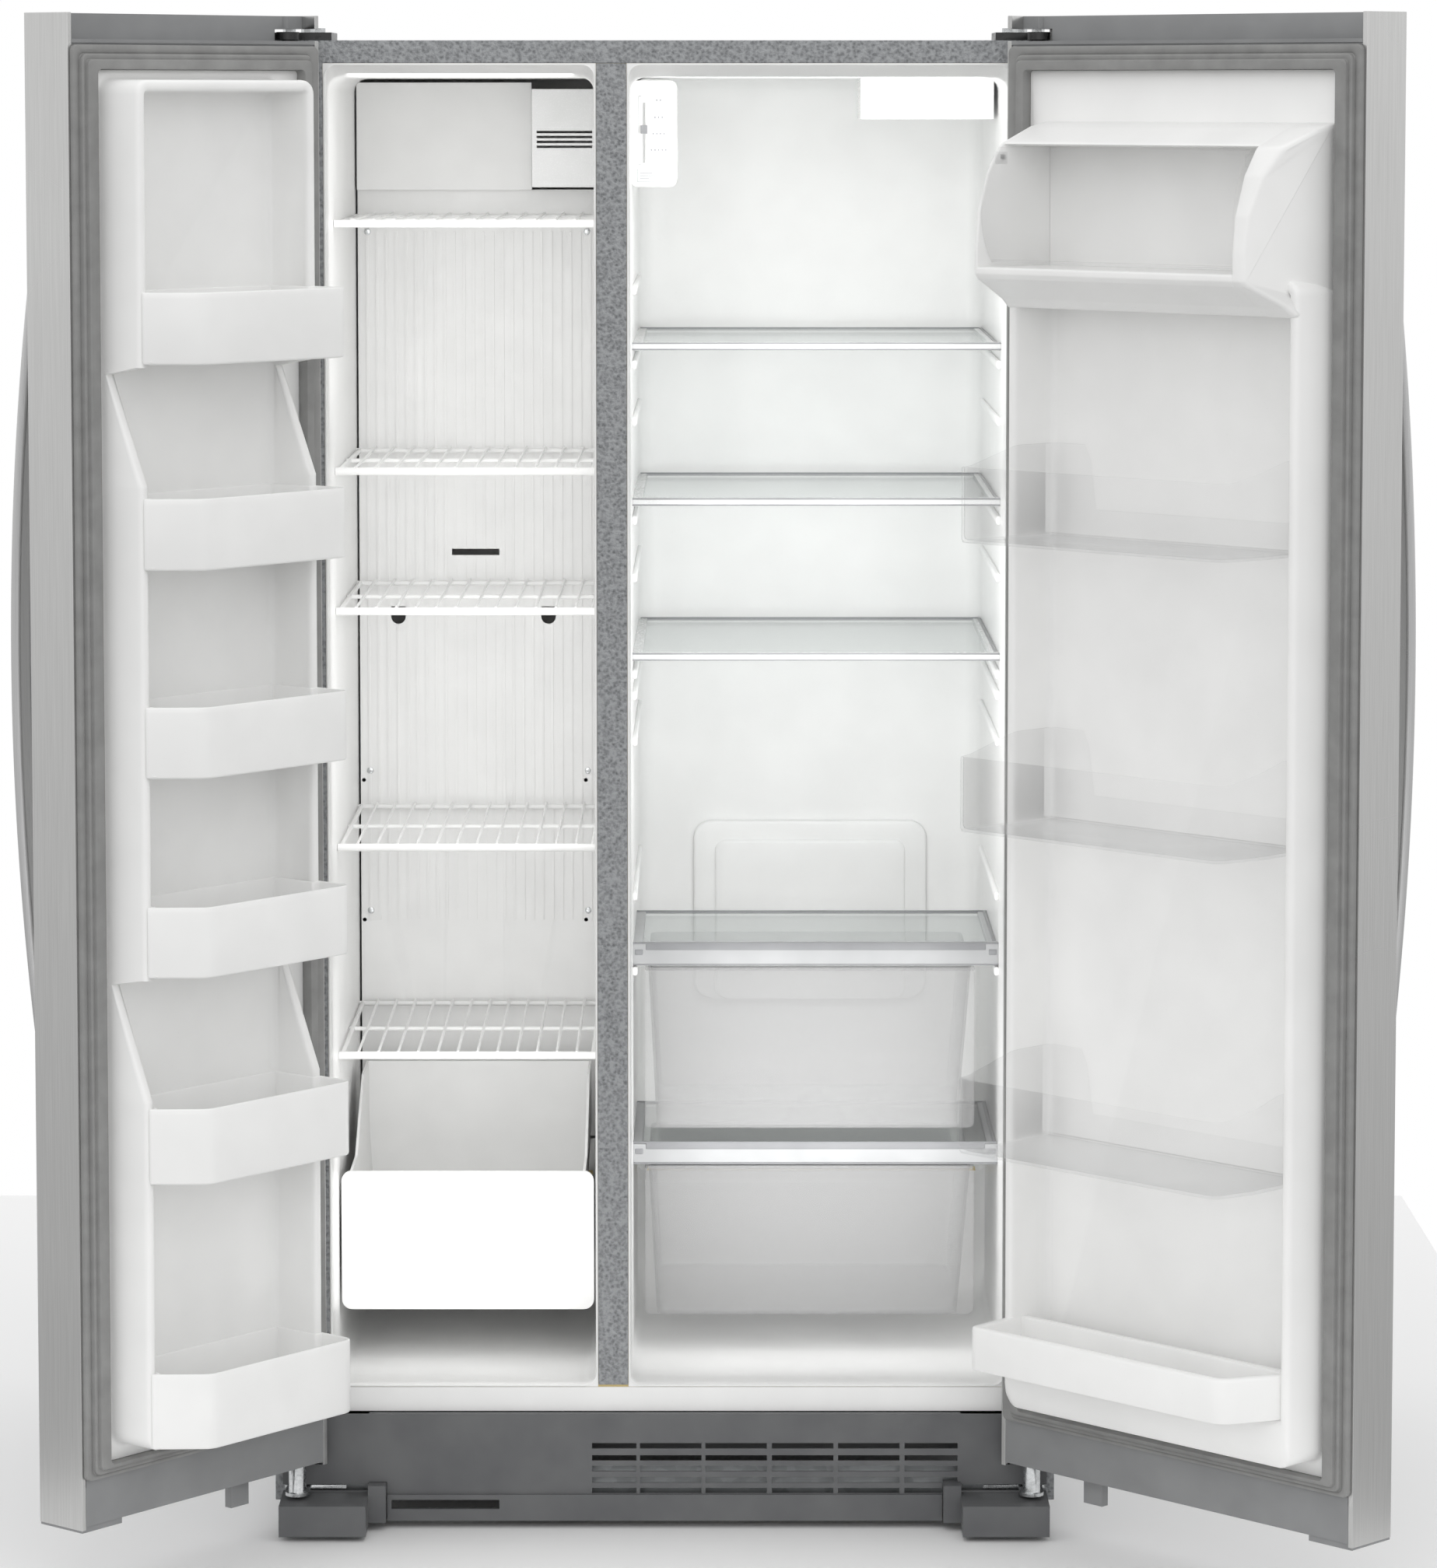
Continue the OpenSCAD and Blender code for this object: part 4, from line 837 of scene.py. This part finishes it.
for door, place, u1 in (("freezer", in_freezer_door, FREEZER_U), ("fridge", in_fridge_door, FRIDGE_U)):
    body = door + "_door"
    softened(body + "_skin", door + "_door_steel", body, STAINLESS, 0.5, 2, outer_corners)
    lower_strip = block((-22, u1 - 6.5), (19.7, 21.3), (126, 136.5))
    mesh_piece(door + "_door_lower_strip", lower_strip, place, body, CAP_GREY)
    softened(body + "_caps", door + "_door_end_caps", body, CAP_GREY, 1.2, 2)
    mesh_piece(door + "_door_seal", seal(u1), place, body, SEAL, (body + "_gasket",))
    mesh_piece(door + "_door_bar", bowed_bar(u1), place, body, HANDLE_STEEL,
               (body + "_handle",), sharp=50)

turns = sorted(FREEZER_BIN_Z[k + above] + d
               for k in (1, 4) for above, d in ((0, 90), (0, 92), (1, -12), (1, -3)))
panel = door_panel(FREEZER_U, FREEZER_DIKE, DIKE_Z[1], FREEZER_BIN_Z[0] - 0.2, lean, turns)
mesh_piece("freezer_door_panel", panel, in_freezer_door, "freezer_door", LINER,
           ("freezer_door_liner",), sharp=50)
bins = [freezer_bin(z, 85 if k < 2 else 79) for k, z in enumerate(FREEZER_BIN_Z)]
mesh_piece("freezer_door_shelf_bins", join(*bins), in_freezer_door, "freezer_door", LINER,
           ("freezer_door_bins",), sharp=50)


# ---------- fridge door's panel, dairy box and bins ----------

FRIDGE_DIKE_TOP = 1470
DAIRY_OUTLINE = [(21.2, 1436), (88, 1430), (100, 1441), (140, 1464), (145, 1470), (145, 1500), (141, 1540),
                 (126, 1583), (105, 1614), (53, 1634), (21.2, 1640)]


def clear_bin(z):
    """Clear bin over the rims: low in front, its ends climbing back to the door, low again along the back."""
    outline = round_corners([(45.4, 23.6), (45.4, 185), (425, 185), (437.6, 125), (437.6, 23.6)],
                            [5, 16, 22, 30, 5], steps=6)
    outline = dense(outline, 9)

    def height(u, v):
        h = 85 if v >= 165 else 105 if v <= 87 else 85 + 20 * (165 - v) / 78
        if v < 34 and u > 107:
            return 32
        if v < 34:
            return min(h, 32 + 73 * max(0.0, min(1.0, (113 - u) / 12)))
        return h if u < 200 or v > 42 else min(h, 32 + 73 * min(1.0, (v - 34) / 8))

    rows = [(6, 0.0, 0), (1.6, 0.0, 0.7), (0, 0.0, 4), (0, 1.0, -3), (0, 1.0, -1.2), (0.6, 1.0, -0.3),
            (1.5, 1.0, 0), (2.4, 1.0, -0.3), (2.8, 1.0, -1.2), (2.8, 0.0, 8), (4, 0.0, 4.6), (7, 0.0, 3)]
    loops = []
    for d, part, h in rows:
        loop = inset(outline, d)
        loops.append([(a, b, z + part * height(*outline[k]) + h) for k, (a, b) in enumerate(loop)])
    return loft(loops)


panel = door_panel(FRIDGE_U, FRIDGE_DIKE, FRIDGE_DIKE_TOP, 226, lambda z: 99, ())
pocket = round_corners([(33.4, 58), (37, 150), (407, 150), (449.6, 58)], [4, 12, 26, 4], steps=6)
rows = [(3, 225), (0.8, 225.8), (0, 228), (0, 271), (0.5, 274), (2, 275), (9, 275), (11, 274.4), (12, 272),
        (12.4, 234), (14, 230), (17, 228)]
bottom_bin = loft([[(a, b, h) for a, b in inset(pocket, d)] for d, h in rows])
mesh_piece("fridge_door_panel", join(panel, bottom_bin), in_fridge_door, "fridge_door",
           LINER, ("fridge_door_liner",), sharp=50)

# Dairy box: two ends, of which the free one is thick and leans in, the floor with its lip, and the roof
outline = round_corners(DAIRY_OUTLINE, [1, 12, 14, 8, 5, 14, 16, 18, 18, 20, 1])
near_rows = ((33.4, 3.2), (34, 1.2), (35.6, 0), (37.4, 0), (38.4, 0.7), (39, 2.2))
near = loft([[(u, a, b) for a, b in inset(outline, d)] for u, d in near_rows])
far = [[(u, a, b) for a, b in inset(outline, d)] for u, d in ((406.5, 1.6), (407, 0.5), (408.4, 0))]
far += [[(450 - 36 * max(0, a - 87) / 73 - back, a, b) for a, b in inset(outline, d)]
        for back, d in ((6, 0), (3.4, 0.2), (1.4, 1.0), (0.4, 2.6), (0.2, 5))]
floor = round_corners([(23, 1436.4), (88, 1430.4), (100, 1441.4), (140, 1464.4), (144.6, 1470),
                       (144.6, 1477.6), (23, 1477.6)], [1, 12, 14, 5, 3, 3, 1])
roof = round_corners([(23, 1622.5), (84, 1612.5), (104, 1614), (53, 1633.8), (23, 1639.6)],
                     [1, 2, 5, 18, 1])
spans = [loft([[(u, a, b) for a, b in shape] for u in (38, 408)]) for shape in (floor, roof)]
mesh_piece("dairy_box", join(near, loft(far), *spans), in_fridge_door, "fridge_door", LINER,
           sharp=50)

bins = join(*[clear_bin(z) for z in CLEAR_BIN_Z])
mesh_piece("clear_door_bins", bins, in_fridge_door, "fridge_door", CLEAR_STYRENE,
           ("fridge_door_bins",), sharp=60)


def flap():
    """Curved clear flap, thin, with a thicker pull edge along its foot and an ear at each end."""
    arc = [math.radians(-34 + 3 * i) for i in range(27)]
    outer = [(38 + 103 * math.cos(a), 1540 + 103 * math.sin(a)) for a in arc]
    inner = [(38 + 100 * math.cos(a), 1540 + 100 * math.sin(a)) for a in reversed(arc)]
    outline = outer + inner
    sheet = loft([[(u, a, b) for a, b in (inset(outline, d) if d else outline)]
                  for u, d in ((40, 0.9), (40.8, 0), (403.2, 0), (404, 0.9))])
    lip = tube([(42, 122.4, 1483.6), (402, 122.4, 1483.6)], 2.2, 12)
    ears = [block((u, u + 3), (99.2, 118), (1592.2, 1605.8), 1.2) for u in (40.1, 400.9)]
    pins = [tube([(a, 104, 1600), (b, 104, 1600)], 2.8, 14) for a, b in ((34, 43), (401, 417))]
    return join(sheet, lip, *ears, *pins)


mesh_piece("dairy_flap_sheet", flap(), in_fridge_door, "dairy_flap", CLEAR_STYRENE,
           ("dairy_cover",), sharp=50)


# ---------- camera, floor and light ----------

def square_loop(x, y):
    return [(x[0], y[0]), (x[1], y[0]), (x[1], y[1]), (x[0], y[1])]


floor_mat, tree, out, place = start_material("matt studio floor")
cloud = add(tree, "ShaderNodeTexNoise", None, Vector=place, Scale=1.2, Detail=2.0)
colour = add(tree, "ShaderNodeMix", {"data_type": "RGBA"}, Factor=cloud.outputs["Fac"], A=linear("#f4f4f4"),
             B=linear("#f8f8f8"))
shade = add(tree, "ShaderNodeBsdfPrincipled", None, Base_Color=colour.outputs[2], Roughness=0.9)
tree.links.new(shade.outputs["BSDF"], out.inputs["Surface"])
mesh = bpy.data.meshes.new("studio_floor")
mesh.from_pydata([(a, b, 0) for a, b in square_loop((-1.1, 1.1), (-1.2, 1.9))], [], [(0, 1, 2, 3)])
mesh.materials.append(floor_mat)
ground = bpy.data.objects.new("studio_floor", mesh)
bpy.context.scene.collection.objects.link(ground)

cam_data = bpy.data.cameras.new("camera")
cam_data.lens = 124.48
cam_data.sensor_width = 36
cam_data.sensor_fit = "AUTO"
cam_data.shift_x = -0.0014
cam_data.shift_y = -0.15
camera = bpy.data.objects.new("camera", cam_data)
camera.location = (0.0654, -6.2324, 1.6736)
camera.rotation_euler = (math.radians(90 - 4.826), 0, 0)
bpy.context.scene.collection.objects.link(camera)
bpy.context.scene.camera = camera


def lamp(name, where, at, size, watts):
    """Rectangular lamp that faces a point."""
    data = bpy.data.lights.new(name, "AREA")
    data.shape = "RECTANGLE"
    data.size, data.size_y = size
    data.energy = watts
    light = bpy.data.objects.new(name, data)
    light.location = where
    light.rotation_euler = (Vector(at) - Vector(where)).to_track_quat("-Z", "Y").to_euler()
    bpy.context.scene.collection.objects.link(light)


lamp("front softbox", (0.2, -5.2, 3.2), (0, 0, 0.9), (4.0, 3.0), 30)
# Panels of light in the mouths of both compartments, aimed back at their rear walls
for k, z in enumerate((0.45, 1.0, 1.5)):
    lamp("freezer light %d" % k, (-0.234, 0.02, z), (-0.234, 0.6, z), (0.26, 0.4), 0.42)
    lamp("fridge light %d" % k, (0.178, 0.03, z), (0.178, 0.6, z), (0.38, 0.4), 0.85)

# White studio: plain white behind the object, with softer light from below the horizon than from above it
world = bpy.data.worlds.new("white studio")
world.use_nodes = True
bpy.context.scene.world = world
tree = world.node_tree
tree.nodes.clear()
where = tree.nodes.new("ShaderNodeTexCoord")
height = add(tree, "ShaderNodeSeparateXYZ", None, Vector=where.outputs["Generated"])
rise = add(tree, "ShaderNodeMapRange", None, Value=height.outputs["Z"], From_Min=-0.3, From_Max=0.02,
           To_Min=0.4, To_Max=1.0)
seen = tree.nodes.new("ShaderNodeLightPath")
level = add(tree, "ShaderNodeMix", {"data_type": "FLOAT"}, Factor=seen.outputs["Is Camera Ray"],
            A=rise.outputs["Result"], B=1.0)
back = add(tree, "ShaderNodeBackground", None, Color=(1, 1, 1, 1), Strength=level.outputs[0])
out = tree.nodes.new("ShaderNodeOutputWorld")
tree.links.new(back.outputs["Background"], out.inputs["Surface"])
bpy.context.scene.view_settings.view_transform = "Standard"
bpy.context.scene.view_settings.look = "None"
